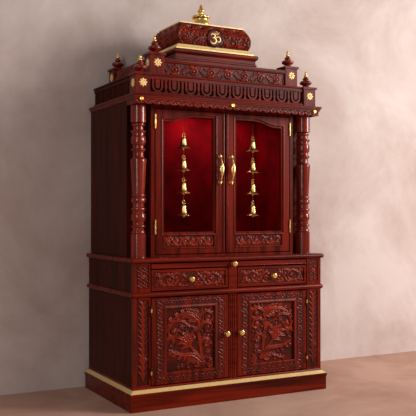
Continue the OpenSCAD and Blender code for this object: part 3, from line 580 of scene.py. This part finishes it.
def door_panel():
    """The stem, its fan of leaves, the open flower and the scrolls round it."""
    work = blank(sunk_wide, sunk_high, 1.5)
    frond(work, [(-66, -118), (-14, -78), (52, -70), (112, -44)], 13, 6.8, 8, (-1,), 2.9, 0.35)
    frond(work, [(-66, -118), (-10, -108), (40, -122), (70, -132)], 8, 5.8, 5, (-1, 1), 1.7)
    ridge(work, trail([(-66, -118), (-44, -84), (-14, -56), (2, -34)]), [8, 7, 6], 6, vein=0.35)
    for tip_x, tip_z, bend, wide in ((56, 36, 0.14, 14), (24, 44, 0, 14), (-14, 38, -0.2, 12),
                                     (82, 8, 0.16, 14), (80, -26, 0.2, 13), (54, -54, 0.22, 11),
                                     (-30, 6, -0.26, 10)):
        leaf(work, (0, -40), (tip_x, tip_z), bend, wide, 7, 0)
    flower(work, 34, -8, 15, 7, 7.8, 0.42)
    branch(work, [(0, 4), (-14, 28), (-16, 42)], (-24, 38), 1, 5.5, 6, 2)
    ridge(work, trail([(-66, -118), (-54, -70), (-49, -26), (-38, 34), (-40, 87), (-16, 130)]),
          [9, 8, 7, 6.5, 4], 6.2, vein=0.35)
    branch(work, [(-40, 56), (-52, 100), (-78, 124), (-102, 119)], (-95, 94), 1, 9, 6.8, 6)
    branch(work, [(-42, -4), (-46, 40), (-66, 70), (-92, 70)], (-91, 45), 1, 8.6, 6.8, 6)
    branch(work, [(-56, -74), (-54, -30), (-66, -5), (-84, -6)], (-82, -25), 1, 8, 6.4, 5)
    flower(work, -92, -66, 14, 6, 6)
    leaf(work, (-60, -92), (-88, -78), 0.2, 8, 5, 0)
    frond(work, [(-100, -138), (-108, -114), (-92, -90)], 9, 5.4, 4, (-1, 1), 1.6)
    frond(work, [(-42, 84), (-6, 112), (46, 116), (116, 80)], 12, 6.8, 7, (-1, 1), 2.2)
    frond(work, [(-36, 102), (-4, 132), (40, 138)], 7, 5.6, 4, (-1, 1), 1.6)
    branch(work, [(4, 56), (44, 84), (88, 82), (110, 52)], (88, 36), -1, 8, 6.4, 6)
    ridge(work, trail([(-38, 20), (-18, 50), (8, 58)]), [5.5, 5, 5], 5.4, vein=0.3)
    flower(work, 46, 58, 15, 6, 6.4)
    flower(work, 4, 82, 13, 6, 6)
    leaf(work, (96, 16), (118, -10), 0.2, 11, 5.8, 0)
    leaf(work, (92, 12), (98, -22), -0.2, 9, 5.4, 0)
    flower(work, 100, -30, 9, 6, 5.4)
    for x, z in ((62, 40), (22, 58), (-22, 76), (110, 12), (-112, 8), (-110, -30), (-16, 10),
                 (14, -134), (-60, 30)):
        dot(work, x, z, 6, 5)
    return work


def door_border():
    """The leaf band round the recess, with a smooth moulding down to its bead."""
    ring = blank(border_wide, border_high, 1.7)
    for lean in (-1, 1):
        leaf_band(aside(ring, lean * 160, 0, True), 372, 32, 17, 2.2)
        leaf_band(aside(ring, 0, lean * 174.5), 300, 26, 17, 2.2)
    past = np.maximum(np.abs(ring["x"])[None, :] - recess_x, np.abs(ring["z"])[:, None] - recess_z)
    slope = np.clip(past / moulding_wide, 0, 1)
    moulding = 0.4 + 3 * (0.5 + 0.5 * np.cos(math.pi * slope))
    ring["h"] = np.where(past < moulding_wide + 0.5, moulding, ring["h"])
    return ring


finish_node(upright, "cupboard_door_left", "cupboard_door_right")
for side, hand in (("left", -1), ("right", 1)):
    body = "cupboard_door_" + side
    carve("door_carving_" + side, door_panel(), front_face(door_x, sunk_face, door_z, hand),
          carved_level, body)
    carve("door_border_" + side, door_border(), front_face(door_x, door_face, door_z, hand),
          carved_upright, body, keep=lambda u, w: abs(u) > recess_x + 0.2 or abs(w) > recess_z + 0.2)


# Drawers: on runners in a deck between the cupboard and the waist. Each front has a
# scroll on both sides of its knob that opens into fans of leaves towards the ends.
drawer_x, drawer_z, drawer_face = 226.25, 583, -278
front_wide, front_high, knob_seat = 366, 68, 10


def drawer_panel():
    """Two scrolls, their leaves and two small flowers on each side of the knob."""
    work = blank(front_wide, front_high, 1.5)
    for side in (-1, 1):
        branch(work, [(side * 176, -24), (side * 150, 10), (side * 118, 26), (side * 92, 12)],
               (side * 108, -2), side, 5.2, 4.6, 6)
        branch(work, [(side * 128, -22), (side * 84, -26), (side * 62, 2), (side * 40, 20), (side * 24, 4)],
               (side * 37, -5), side, 5, 4.6, 6)
        frond(work, [(side * 150, 8), (side * 164, 22), (side * 178, 26)], 5.5, 4.2, 3, (-1, 1), 2)
        frond(work, [(side * 96, 22), (side * 74, 30), (side * 54, 26)], 5, 4.2, 4, (-1, 1), 1.8)
        frond(work, [(side * 60, -22), (side * 40, -30), (side * 18, -26)], 5, 4.2, 3, (-1, 1), 1.6)
        frond(work, [(side * 132, -26), (side * 152, -18), (side * 178, -28)], 5, 4.2, 3, (-1, 1), 1.8)
        flower(work, side * 152, -8, 9, 6, 4)
        flower(work, side * 72, 8, 8, 6, 4)
    return work


finish_node(level, "drawer_deck", "drawer_left", "drawer_right")
for side, hand in (("left", -1), ("right", 1)):
    carve("drawer_carving_" + side, drawer_panel(), front_face(drawer_x, drawer_face, drawer_z, hand),
          carved_level, "drawer_" + side, keep=lambda u, w: math.hypot(u, w) > knob_seat)


# Tray and its cock bead: a board that pulls out over the drawers, with a thin
# half-round strip planted under its front, so that the joint shows as a fine line.
strip_size = (849, 13, 4.4)
strip_place = (0, -277, 637.9)
finish_node(level, "tray")
strip = bmesh.new()
bmesh.ops.create_cube(strip, size=1)
bmesh.ops.scale(strip, vec=Vector(strip_size) * mm, verts=strip.verts)
bmesh.ops.bevel(strip, geom=list(strip.edges), offset=1.6 * mm, offset_type="OFFSET", affect="EDGES",
                segments=3, profile=0.5, material=-1)
bmesh.ops.translate(strip, vec=Vector(strip_place) * mm, verts=strip.verts)
strip_mesh = bpy.data.meshes.new("tray_bead")
strip.to_mesh(strip_mesh)
strip.free()
strip_mesh.shade_smooth()
fit(strip_mesh, "tray_bead", level, "tray")


# Shrine doors: arched open doors, framed up from mahogany, with a running vine
# carved in the sunk lower panel.
shrine_door_x, shrine_face, vine_face = 194.5, -208, -203
vine_wide, vine_high, vine_z = 262, 52, 755


def running_vine(work, length, height, waves, rise=5, width=0.085):
    """A wavy acanthus stem that throws a scroll with leaves into each of its waves."""
    pitch = length / waves
    wide = width * height
    for k in range(waves):
        x = -length / 2 + (k + 0.5) * pitch
        hand = 1 if k % 2 else -1
        low, high = -hand * 0.36 * height, hand * 0.34 * height
        branch(work, [(x - 0.62 * pitch, low * 0.6), (x - 0.3 * pitch, high * 0.75),
                      (x + 0.08 * pitch, high), (x + 0.27 * pitch, high * 0.2)],
               (x + 0.05 * pitch, 0.02 * high), -hand, wide, rise, 5)
        frond(work, [(x - 0.1 * pitch, high * 0.95), (x + 0.3 * pitch, high * 0.7),
                     (x + 0.56 * pitch, low * 0.45)], wide * 0.8, rise * 0.9, 3, (hand,), 1.9)
        leaf(work, (x + 0.42 * pitch, high * 0.5), (x + 0.52 * pitch, high * 1.25), -hand * 0.2,
             wide * 0.8, rise * 0.8, 2)
        leaf(work, (x - 0.1 * pitch, low * 0.6), (x + 0.24 * pitch, low * 1.2), hand * 0.2,
             wide * 0.8, rise * 0.8, 2)
        leaf(work, (x - 0.16 * pitch, low * 0.5), (x - 0.36 * pitch, low * 1.2), -hand * 0.2,
             wide * 0.7, rise * 0.8, 2)


finish_node(upright, "shrine_door_left", "shrine_door_right")
for side, hand in (("left", -1), ("right", 1)):
    vine = blank(vine_wide, vine_high, 1.4)
    running_vine(vine, 254, 50, 6, 4.2, 0.1)
    carve("shrine_door_vine_" + side, vine, front_face(shrine_door_x, vine_face, vine_z, hand),
          carved_level, "shrine_door_" + side)


# Window mouldings: a planted bead that follows each opening of the shrine doors
# and its arched head, a little way in from the rebate.
window_x, window_z = (62.5, 326.5), (800, 1318)
arch_start, arch_run, arch_rise = 162.8, 137.3, 28
bead_in, bead_half, bead_rise = 13, 4.4, 1.9
opening_middle = 1066


def window_moulding():
    """The bead's height on a board behind the opening, and how far each spot is past it."""
    work = blank(302, 580, 2)
    x, z = np.meshgrid(work["x"] + shrine_door_x, work["z"] + opening_middle)
    t = np.clip((x - arch_start) / arch_run, 0, 1)
    arch = window_z[1] + arch_rise * (1 + np.cos(math.pi * t)) / 2
    beside = np.maximum(window_x[0] - x, x - window_x[1])
    past = np.maximum(beside, np.maximum(window_z[0] - z, z - arch))
    work["h"] = bead_rise * np.sqrt(np.clip(1 - ((past - bead_in) / bead_half) ** 2, 0, 1))
    work["past"] = past
    return work


def on_bead(work, u, w):
    """Whether a spot of the board belongs to the bead."""
    past = work["past"][np.searchsorted(work["z"], w), np.searchsorted(work["x"], u)]
    return bead_in - bead_half < past < bead_in + bead_half


for side, hand in (("left", -1), ("right", 1)):
    bead = window_moulding()
    carve("window_bead_" + side, bead, front_face(shrine_door_x, shrine_face, opening_middle, hand),
          upright, "shrine_door_" + side, keep=lambda u, w: on_bead(bead, u, w))


# Velvet: dark red pile glued to the back and the sides of the shrine.
def velvet():
    """Short pile with soft crushed patches."""
    finish, tree, shader = new_finish("red_velvet", Roughness=0.85, Specular_IOR_Level=0.1,
                                      Sheen_Weight=0.35, Sheen_Roughness=0.35,
                                      Sheen_Tint=tone(255, 2, 20))
    join = tree.links.new
    place = added(tree, "TexCoord").outputs["Object"]
    nap = added(tree, "TexNoise", Scale=9, Detail=6)
    pile = added(tree, "TexNoise", Scale=900)
    ramp = two_tones(tree, 0.3, tone(104, 0, 10), 0.7, tone(156, 0, 16))
    fuzz = added(tree, "Bump", Strength=0.4, Distance=0.0006)
    join(place, nap.inputs["Vector"])
    join(place, pile.inputs["Vector"])
    join(nap.outputs["Fac"], ramp.inputs["Fac"])
    join(ramp.outputs["Color"], shader.inputs["Base Color"])
    join(pile.outputs["Fac"], fuzz.inputs["Height"])
    join(fuzz.outputs["Normal"], shader.inputs["Normal"])
    return finish


finish_node(velvet(), "velvet_lining")


# Knobs and hinge pins: turned and drawn brass, polished, on their own solids. The
# hinge brass is coloured darker below 0.6 m, which darkens the cupboard's hinges.
brass = metal("polished_brass", tone(255, 222, 140), tone(248, 196, 104), 0.25, 45)
hinge_brass = metal("hinge_brass", tone(226, 184, 100), tone(180, 136, 62), 0.3, 45, 1.0, 0.6)
finish_node(hinge_brass, "hinge_pins")
finish_node(brass, "cupboard_knob_left", "cupboard_knob_right", "drawer_knob_left",
            "drawer_knob_right", "tray_knob")


# Bells: eight cast brass bells on two dull link chains that hang from hooks at the
# top of the shrine opening, each with its ring, its clapper and a wide lip.
strand_x, strand_y, hook_z = 194.5, -144, 1361
bell_heights = (874, 982, 1090, 1198)
ring_up, arm_up, chain_up, link_pitch, links = 70, 61, 77, 5.3, 15


def shaped(work):
    """Keeps a modelled form, so that it can be placed more than once."""
    bmesh.ops.remove_doubles(work, verts=work.verts, dist=0.000001)
    form = bpy.data.meshes.new("form")
    work.to_mesh(form)
    work.free()
    return form


def turned(outline, steps=24):
    """A turned form, from [radius, height] in millimetres."""
    work = bmesh.new()
    spots = [work.verts.new(Vector((radius, 0, height)) * mm) for radius, height in outline]
    edges = [work.edges.new(pair) for pair in zip(spots, spots[1:])]
    bmesh.ops.spin(work, geom=spots + edges, cent=(0, 0, 0), axis=(0, 0, 1), angle=2 * math.pi,
                   steps=steps, use_merge=True)
    return shaped(work)


def wire_ring(radius, wire, tall=1.0):
    """An upright ring of wire that faces the front."""
    work = bmesh.new()
    bmesh.ops.create_circle(work, cap_ends=False, segments=6, radius=wire * mm,
                            matrix=Matrix.Translation((radius * mm, 0, 0)))
    bmesh.ops.spin(work, geom=list(work.verts) + list(work.edges), cent=(0, 0, 0), axis=(0, 1, 0),
                   angle=2 * math.pi, steps=10, use_merge=True)
    bmesh.ops.scale(work, vec=(1, 1, tall), verts=work.verts)
    return shaped(work)


def put(work, form, x, y, z, turn=0, axis="X"):
    """Adds a copy of a form to a mesh, turned about its own middle first."""
    copy = form.copy()
    turned_so = Matrix.Rotation(math.radians(turn), 4, axis)
    copy.transform(Matrix.Translation((x * mm, y * mm, z * mm)) @ turned_so)
    work.from_mesh(copy)
    bpy.data.meshes.remove(copy)


def finished(work, name, finish, body, smooth=38):
    """Closes a modelled mesh and fixes it to its body of the cabinet."""
    bmesh.ops.recalc_face_normals(work, faces=work.faces)
    mesh = bpy.data.meshes.new(name)
    work.to_mesh(mesh)
    work.free()
    mesh.shade_smooth()
    mesh.set_sharp_from_angle(angle=math.radians(smooth))
    return fit(mesh, name, finish, body)


bell_outline = [(0, 57), (4, 56.6), (8, 54.5), (10.8, 51), (12.2, 46), (12.8, 38), (13.6, 28), (15.2, 19.6),
                (18, 13), (22, 9), (27, 6.8), (31.5, 5.2), (33.2, 3.6), (32.4, 1.8), (29, 1.4), (22, 5),
                (16.6, 11), (13.8, 19), (12.2, 27), (11.4, 36), (10.4, 46), (0, 51)]
crown_outline = [(0, 55), (5.4, 56), (3.4, 58.4), (4.8, 61), (3.4, 63.6), (0, 64.4)]
clapper_outline = [(0, 48.5), (1.2, 48), (1.2, 5), (4.4, 3), (5.6, -0.5), (4.4, -4), (0, -5.4)]
hook_outline = [(0, -12), (3, -11), (4.4, -8), (3, -5), (1.8, -2), (1.8, 12), (9, 14), (9, 17), (0, 17)]
bell_forms = [turned(outline) for outline in (bell_outline, crown_outline, clapper_outline)]
loop, chain_link, hook = wire_ring(6.2, 1.7, 1.1), wire_ring(1.7, 0.5, 1.9), turned(hook_outline)
arm = turned([(0, 0), (1.8, 0), (1.3, 5), (2.4, 7.4), (1.7, 9.6), (0, 10.2)], 10)
strands, chains = bmesh.new(), bmesh.new()
for x in (-strand_x, strand_x):
    for z in bell_heights:
        for form in bell_forms:
            put(strands, form, x, strand_y, z)
        put(strands, loop, x, strand_y, z + ring_up)
        for turn in (-90, 90):
            put(strands, arm, x, strand_y, z + arm_up, turn, "Y")
        for k in range(links):
            put(chains, chain_link, x, strand_y, z + chain_up + k * link_pitch, 90 * (k % 2), "Z")
    put(chains, hook, x, strand_y, hook_z)
strands = finished(strands, "brass_bells", brass, "root")
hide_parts("bell_strands")
chain_brass = metal("chain_brass", tone(150, 96, 52), tone(92, 54, 28), 0.4, 60)
finished(chains, "bell_chains", chain_brass, "root")


# Door pulls: cast brass bows with round feet and a swelling, leaf-shaped grip,
# screwed to the meeting stiles; the doors' own hinge knuckles go with them.
pull_x, pull_z, pull_half = 31.25, 1100.5, 62
stile_face, grip_y, grip_out = -208, -216, 15
hinge_x, hinge_y, hinge_heights = 374, -212, (824, 1314)


def bar(stations):
    """A bowed bar from rings: place, half width, half thickness and lean of each."""
    work = bmesh.new()
    rings = []
    for k, (y, z, wide, thick, lean) in enumerate(stations):
        ends = k in (0, len(stations) - 1)
        ring = bmesh.ops.create_circle(work, cap_ends=ends, segments=14, radius=1)["verts"]
        bmesh.ops.scale(work, vec=(wide * mm, thick * mm, 1), verts=ring)
        bmesh.ops.rotate(work, cent=(0, 0, 0), matrix=Matrix.Rotation(lean, 3, "X"), verts=ring)
        bmesh.ops.translate(work, vec=(0, y * mm, z * mm), verts=ring)
        rings.append([edge for edge in work.edges if edge.verts[0] in ring and edge.verts[1] in ring])
    for low, high in zip(rings, rings[1:]):
        bmesh.ops.bridge_loops(work, edges=low + high)
    return shaped(work)


bow = []
for share in np.linspace(-1, 1, 31):
    away = 1 - abs(share)
    out = grip_out * (1 - (1 - min(1, away * 1.5)) ** 2)
    steep = grip_out * 3 * max(0, 1 - away * 1.5) * (1 if share < 0 else -1)
    swell = 9.4 * math.exp(-((share / 0.46) ** 4)) * (0.72 + 0.28 * math.cos(5 * share))
    bow.append((grip_y - out, pull_half * share, 4 + swell, 4 + 5 * math.exp(-((share / 0.44) ** 4)),
                math.atan2(steep, pull_half)))
bow = bar(bow)
foot = turned([(0, 0), (9.6, 0), (9.8, 2), (8, 4), (6.2, 6.5), (7, 9), (5.4, 11.6), (0, 12.6)], 20)
bud = turned([(0, -5), (3, -4.4), (5, -1), (4.2, 2.5), (1.6, 5), (0, 5.4)], 16)
knuckle = turned([(2, -10.7), (3.5, -10.7), (4, -10.2), (4, 10.2), (3.5, 10.7), (2, 10.7), (2, -10.7)], 20)
plate = bmesh.new()
bmesh.ops.create_cube(plate, size=1)
bmesh.ops.scale(plate, vec=(1.3 * mm, 20 * mm, 21.4 * mm), verts=plate.verts)
plate = shaped(plate)
for side, hand in (("left", -1), ("right", 1)):
    pull = bmesh.new()
    put(pull, bow, hand * pull_x, 0, pull_z)
    for end in (-1, 1):
        put(pull, foot, hand * pull_x, stile_face, pull_z + end * pull_half, 90)
        put(pull, bud, hand * pull_x, grip_y - 1, pull_z + end * (pull_half + 6))
    for z in hinge_heights:
        put(pull, knuckle, hand * hinge_x, hinge_y, z)
        put(pull, plate, hand * (hinge_x - 1.85), hinge_y + 12, z)
    pull = finished(pull, "pull_and_knuckles_" + side, brass, "shrine_door_" + side)
    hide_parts("door_pull_" + side)


# Roof: a moulded cornice, a pierced gallery and an upper tier between square newels,
# and a stepped base for the dome, of the same lacquered wood.
low_post, high_post, back_post = (458.5, -229.5), (371, -195), (371, 261)
low_post_top, high_post_top, post_half = 1527, 1630, 35
finish_node(upright, "posts")
finish_node(side_wood_painted_shade, "gallery_sides")
finish_node(level, "cornice", "cornice_frieze", "gallery_front", "upper_tier", "roof_deck",
            "dome_base", "dome")


# Finials: turned in mahogany, each with a brass tip, and the brass kalash on the
# dome, a lobed pot with a lid, a ring and a bud, spun and chased.
kalash_y, kalash_foot, tip_foot = 48, 1826, 58
lobe_count, lobe_depth, lobe_middle, lobe_half = 10, 0.055, 68, 8
finial = turned([(0, 0), (25, 0), (25.4, 3), (22, 5.5), (16, 8), (14, 11), (18, 13), (26, 17), (30.4, 22),
                 (31, 26), (29, 31), (24, 35), (18, 37.6), (14.5, 39), (13, 41.6), (15.6, 44), (16, 47.5),
                 (13, 51), (9.6, 53), (8, 58), (0, 58)], 32)
tip = turned([(0, -1), (8.4, 0), (10, 3.4), (8.8, 7.4), (5, 9.6), (5, 11), (7.2, 14), (6.4, 18), (3.6, 23),
              (1.2, 27), (0, 28)], 20)
tops = []
for side in (-1, 1):
    for (x, y), z in ((low_post, low_post_top), (high_post, high_post_top), (back_post, high_post_top)):
        tops.append((side * x, y, z))
wooden, golden = bmesh.new(), bmesh.new()
for x, y, z in tops:
    put(wooden, finial, x, y, z)
    put(golden, tip, x, y, z + tip_foot)
wooden = finished(wooden, "turned_finials", polished, "root", 50)
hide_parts("finials")
pot = turned([(0, 0), (46, 0), (48, 4), (48.4, 28), (47, 37), (43, 44.5), (39.6, 50), (39, 55), (41, 59),
              (44, 62), (46, 66), (46.4, 70), (45, 74), (41, 77), (30, 79.2), (18, 80.6), (11, 82.6),
              (9.4, 85), (9.6, 88.6), (13, 92.6), (17.6, 96.4), (19.3, 99.6), (18.4, 103), (14.6, 109),
              (11.8, 114), (9.4, 121), (7, 128.6), (4, 133.4), (0, 135)], 80)
for corner in pot.vertices:
    height, turn = corner.co.z / mm, math.atan2(corner.co.y, corner.co.x)
    share = math.exp(-(((height - lobe_middle) / lobe_half) ** 4))
    lobe = 1 + lobe_depth * math.cos(lobe_count * turn - 1.45) * share
    corner.co.x, corner.co.y = corner.co.x * lobe, corner.co.y * lobe
put(golden, pot, 0, kalash_y, kalash_foot)
golden = finished(golden, "kalash_and_tips", brass, "root", 50)
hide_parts("brass_finials")


# Post flowers: gilt flowers of eight petals, cast thin and pinned to the outer
# faces of the square newels.
low_flower_z, high_flower_z = 1481, 1584
flower_wide, petal_tip = 42, 20.5


def gilt_flower(name, place):
    """One flower with a ring cut round its heart, trimmed to its petals."""
    work = blank(flower_wide, flower_wide, 1)
    flower(work, 0, 0, petal_tip, 8, 3.6, 0.27)
    gx, gz = np.meshgrid(work["x"], work["z"])
    ring = np.exp(-(((np.hypot(gx, gz) - 7) / 1) ** 2))
    work["h"] = np.maximum(work["h"] * (1 - 0.75 * ring), 0)

    def keep(u, w):
        petal = abs(math.cos(4 * math.atan2(w, u)))
        return math.hypot(u, w) < (petal_tip - 0.1) * (0.62 + 0.38 * petal)
    carve(name, work, place, gilt, "root", keep)


def side_face(x, y, z, hand):
    """Place of a carving on a side face at x, on the right or mirrored to the left."""
    return lambda u, w, h: (hand * (x + h), y + u, z + w)


for side, hand in (("left", -1), ("right", 1)):
    for name, (x, y), z in (("low", low_post, low_flower_z), ("high", high_post, high_flower_z)):
        gilt_flower(f"post_flower_{name}_{side}", front_face(x, y - post_half, z, hand))
    for name, (x, y), z in (("low", low_post, low_flower_z), ("high", high_post, high_flower_z),
                            ("back", back_post, high_flower_z)):
        gilt_flower(f"side_flower_{name}_{side}", side_face(x + post_half, y, z, hand))


# Cornice frieze: a running row of turned leaves along the scalloped strip, with
# three brass roses over the joints of the moulding.
frieze_wide, scallops, frieze_y, frieze_z = 1006, 24, -279, 1393
scallop_pitch = frieze_wide / scallops
rose_places, rose_y, rose_z = (-474, 0, 477), -278.6, 1403


def frieze_leaves():
    """One turned leaf with a bud over each tooth of the strip."""
    work = blank(frieze_wide - 2, 21, 1.4)
    for k in range(scallops):
        x = -frieze_wide / 2 + (k + 0.5) * scallop_pitch
        frond(work, [(x - 19, 4), (x - 9, -5.5), (x + 4, -3), (x + 17, 7)], 4.6, 4.2, 3, (-1,), 1.3)
        dot(work, x - 15, -1.5, 4, 3.8)
        leaf(work, (x + 4, 1), (x + 20, -5.5), -0.2, 3.6, 3.4, 0)
        leaf(work, (x - 12, 8), (x + 3, 4), 0.15, 3, 3, 0)
    return work


def off_scallops(u, w):
    """Whether a place on the frieze is clear of the notches along its lower edge."""
    notch = abs((u + frieze_wide / 2) % scallop_pitch - scallop_pitch / 2)
    return math.hypot(scallop_pitch / 2 - notch, w + 11) > 6.4


carve("frieze_leaves", frieze_leaves(), lambda u, w, h: (u, frieze_y - h, frieze_z + w), carved_level,
      "root", keep=off_scallops)
rose = turned([(0, 0), (8.6, 0), (9.6, 4), (9.6, 7.5), (8.4, 9.4), (6.8, 9), (5.6, 6.6), (4.2, 6.8),
               (3, 9.6), (0, 10.6)], 28)
roses = bmesh.new()
for x in rose_places:
    put(roses, rose, x, rose_y, rose_z, 90)
finished(roses, "cornice_roses", brass, "root")


# Upper tier: a running vine on its front and sides, worked between its beads.
tier_z, tier_high, tier_face, tier_side, tier_middle = 1559, 58, -220, 400, 33
front_vine, side_vine, vine_margin = 668, 380, 12
vine = blank(front_vine, tier_high, 1.6)
running_vine(vine, front_vine - vine_margin, tier_high - 2, 7, 5)
carve("tier_vine_front", vine, front_face(0, tier_face, tier_z), carved_level, "root")
for side, hand in (("left", -1), ("right", 1)):
    vine = blank(side_vine, tier_high, 1.8)
    running_vine(vine, side_vine - vine_margin, tier_high - 2, 4, 5)
    carve("tier_vine_" + side, vine, side_face(tier_side, tier_middle, tier_z, hand), carved_level, "root")


# Dome: crossing arches filled with scrolls and leaves all over its four faces,
# and on the front a turned boss with the gilt Om, a sign as old as the faith.
dome_half_x, dome_half_y, dome_y = 198, 141, 48
dome_foot, dome_high, face_high = 1715, 111, 130
arch_spacing, arch_up = 124, 52
boss_y, boss_z, sign_y, sign_z = -88, 1759, -106.2, 1758
boss_wood = stained_wood("boss_mahogany", "X", tone(92, 28, 15), tone(56, 15, 8))


def dome_swell(t):
    """How far the dome's face stands out past its foot, at a share of its height."""
    return np.where(t < 0.42, 10 * np.sin(math.pi / 2 * t / 0.42),
                    10 - 30 * (1 - np.cos(math.pi / 2 * (t - 0.42) / 0.58)))


def dome_face(half_width, half_depth):
    """Carving of one face, and where it lies on the dome."""
    width = 2 * half_width
    work = blank(width, face_high, 1.8)
    count = 2 * round(width / arch_spacing)
    pitch = width / count
    for k in range(count + 1):
        x = -half_width + k * pitch
        arch = [(x + 0.98 * pitch * math.cos(a), arch_up * (2 * math.sin(a) - 1))
                for a in np.linspace(0.02, math.pi - 0.02, 26)]
        ridge(work, arch, [6, 6], 6.4, vein=0.5)
    for k in range(count):
        x = -half_width + (k + 0.5) * pitch
        hand = 1 if k < count / 2 else -1
        branch(work, [(x - hand * 12, -58), (x - hand * 20, -34), (x - hand * 6, -14), (x + hand * 14, -22)],
               (x + hand * 4, -34), -hand, 5.2, 5.6, 5)
        branch(work, [(x + hand * 24, -4), (x + hand * 26, 22), (x + hand * 4, 34), (x - hand * 12, 20)],
               (x + hand * 2, 14), hand, 5, 5.6, 5)
        frond(work, [(x - hand * 26, 0), (x - hand * 22, 30), (x - hand * 6, 54)], 5, 5.2, 4, (-1, 1), 1.9)
        frond(work, [(x + hand * 28, -52), (x + hand * 24, -30), (x + hand * 28, -10)], 4.6, 5.2, 3,
              (-1, 1), 1.8)
        flower(work, x + hand * 24, 50, 11, 6, 5.4)
        leaf(work, (x + hand * 12, 40), (x + hand * 2, 62), 0.1, 6, 5, 2)
    edge = np.minimum(half_width - np.abs(work["x"])[None, :],
                      (face_high / 2 - np.abs(work["z"]))[:, None])
    work["h"] *= np.clip(edge / 5, 0, 1)

    def place(u, w, h):
        t = w / face_high + 0.5
        out = dome_swell(t)
        slope = (dome_swell(t + 0.01) - dome_swell(t - 0.01)) / (0.02 * dome_high)
        size = np.sqrt(1 + slope ** 2)
        x = u / half_width * (half_width + out)
        return x, half_depth + out + h / size, dome_foot + t * dome_high - h * slope / size

    return work, place


def turned_face(place, quarter):
    """The same face looking to the front, the right, the back or the left."""
    def put_there(u, w, h):
        x, out, z = place(u, w, h)
        front, right = (x, dome_y - out, z), (out, dome_y + x, z)
        back, left = (-x, dome_y + out, z), (-out, dome_y - x, z)
        return (front, right, back, left)[quarter]
    return put_there


for quarter, name in enumerate(("front", "right", "back", "left")):
    size = (dome_half_x, dome_half_y) if quarter % 2 == 0 else (dome_half_y, dome_half_x)
    work, place = dome_face(*size)
    carve("dome_carving_" + name, work, turned_face(place, quarter), carved_level, "root")

boss = bmesh.new()
boss_form = turned([(0, 0), (46, 0), (46.5, 17), (45, 20.5), (42, 21.5), (39.5, 19.5), (38, 17.6),
                    (0, 18)], 56)
put(boss, boss_form, 0, boss_y, boss_z, 90)
finished(boss, "dome_boss", boss_wood, "root")

sign = blank(76, 76, 0.75)
for stroke, half in (
        ([(-25, 14), (-17, 21), (-6, 18), (-3, 9), (-10, 2), (-15, 1)], [2.4, 4.2, 4.4, 4, 3]),
        ([(-12, 2), (-1, -2), (4, -13), (-4, -25), (-18, -27), (-28, -18)], [3, 4.2, 4.6, 4.4, 2.2]),
        ([(-2, -3), (8, 5), (19, 8), (27, 0), (26, -12), (17, -18), (9, -13)], [3, 3.2, 3.8, 4.2, 4, 1.8]),
        ([(-6, 31), (2, 22), (14, 22), (22, 32)], [1.2, 3.2, 3.2, 1.2])):
    ridge(sign, trail(stroke), half, 3.4)
dot(sign, 8, 32, 3.8, 3.4)


def on_stroke(u, w):
    """Whether a spot of the board belongs to a stroke of the sign."""
    return sign["h"][np.searchsorted(sign["z"], w) - 1, np.searchsorted(sign["x"], u) - 1] > 0.5


carve("gilt_om", sign, lambda u, w, h: (u, sign_y - h, sign_z + w), gilt, "root", keep=on_stroke)


# Gilt beads: rows of small turned pearls, glued along the dome's top edge and along
# the step under its foot.
top_row = (176, 119, 1830, 3.6, 9)
foot_row = (dome_half_x + 13.5, dome_half_y + 13.5, 1698, 4, 10)
beads = bmesh.new()
for half_x, half_y, z, size, pitch in (top_row, foot_row):
    around = [(x, side * half_y) for side in (-1, 1) for x in np.arange(-half_x, half_x, pitch)]
    around += [(side * half_x, y) for side in (-1, 1) for y in np.arange(-half_y, half_y, pitch)]
    for x, y in around:
        pearl = bmesh.ops.create_uvsphere(beads, u_segments=8, v_segments=5, radius=size * mm)["verts"]
        bmesh.ops.translate(beads, vec=(x * mm, (dome_y + y) * mm, z * mm), verts=pearl)
finished(beads, "gilt_beads", gilt, "root")
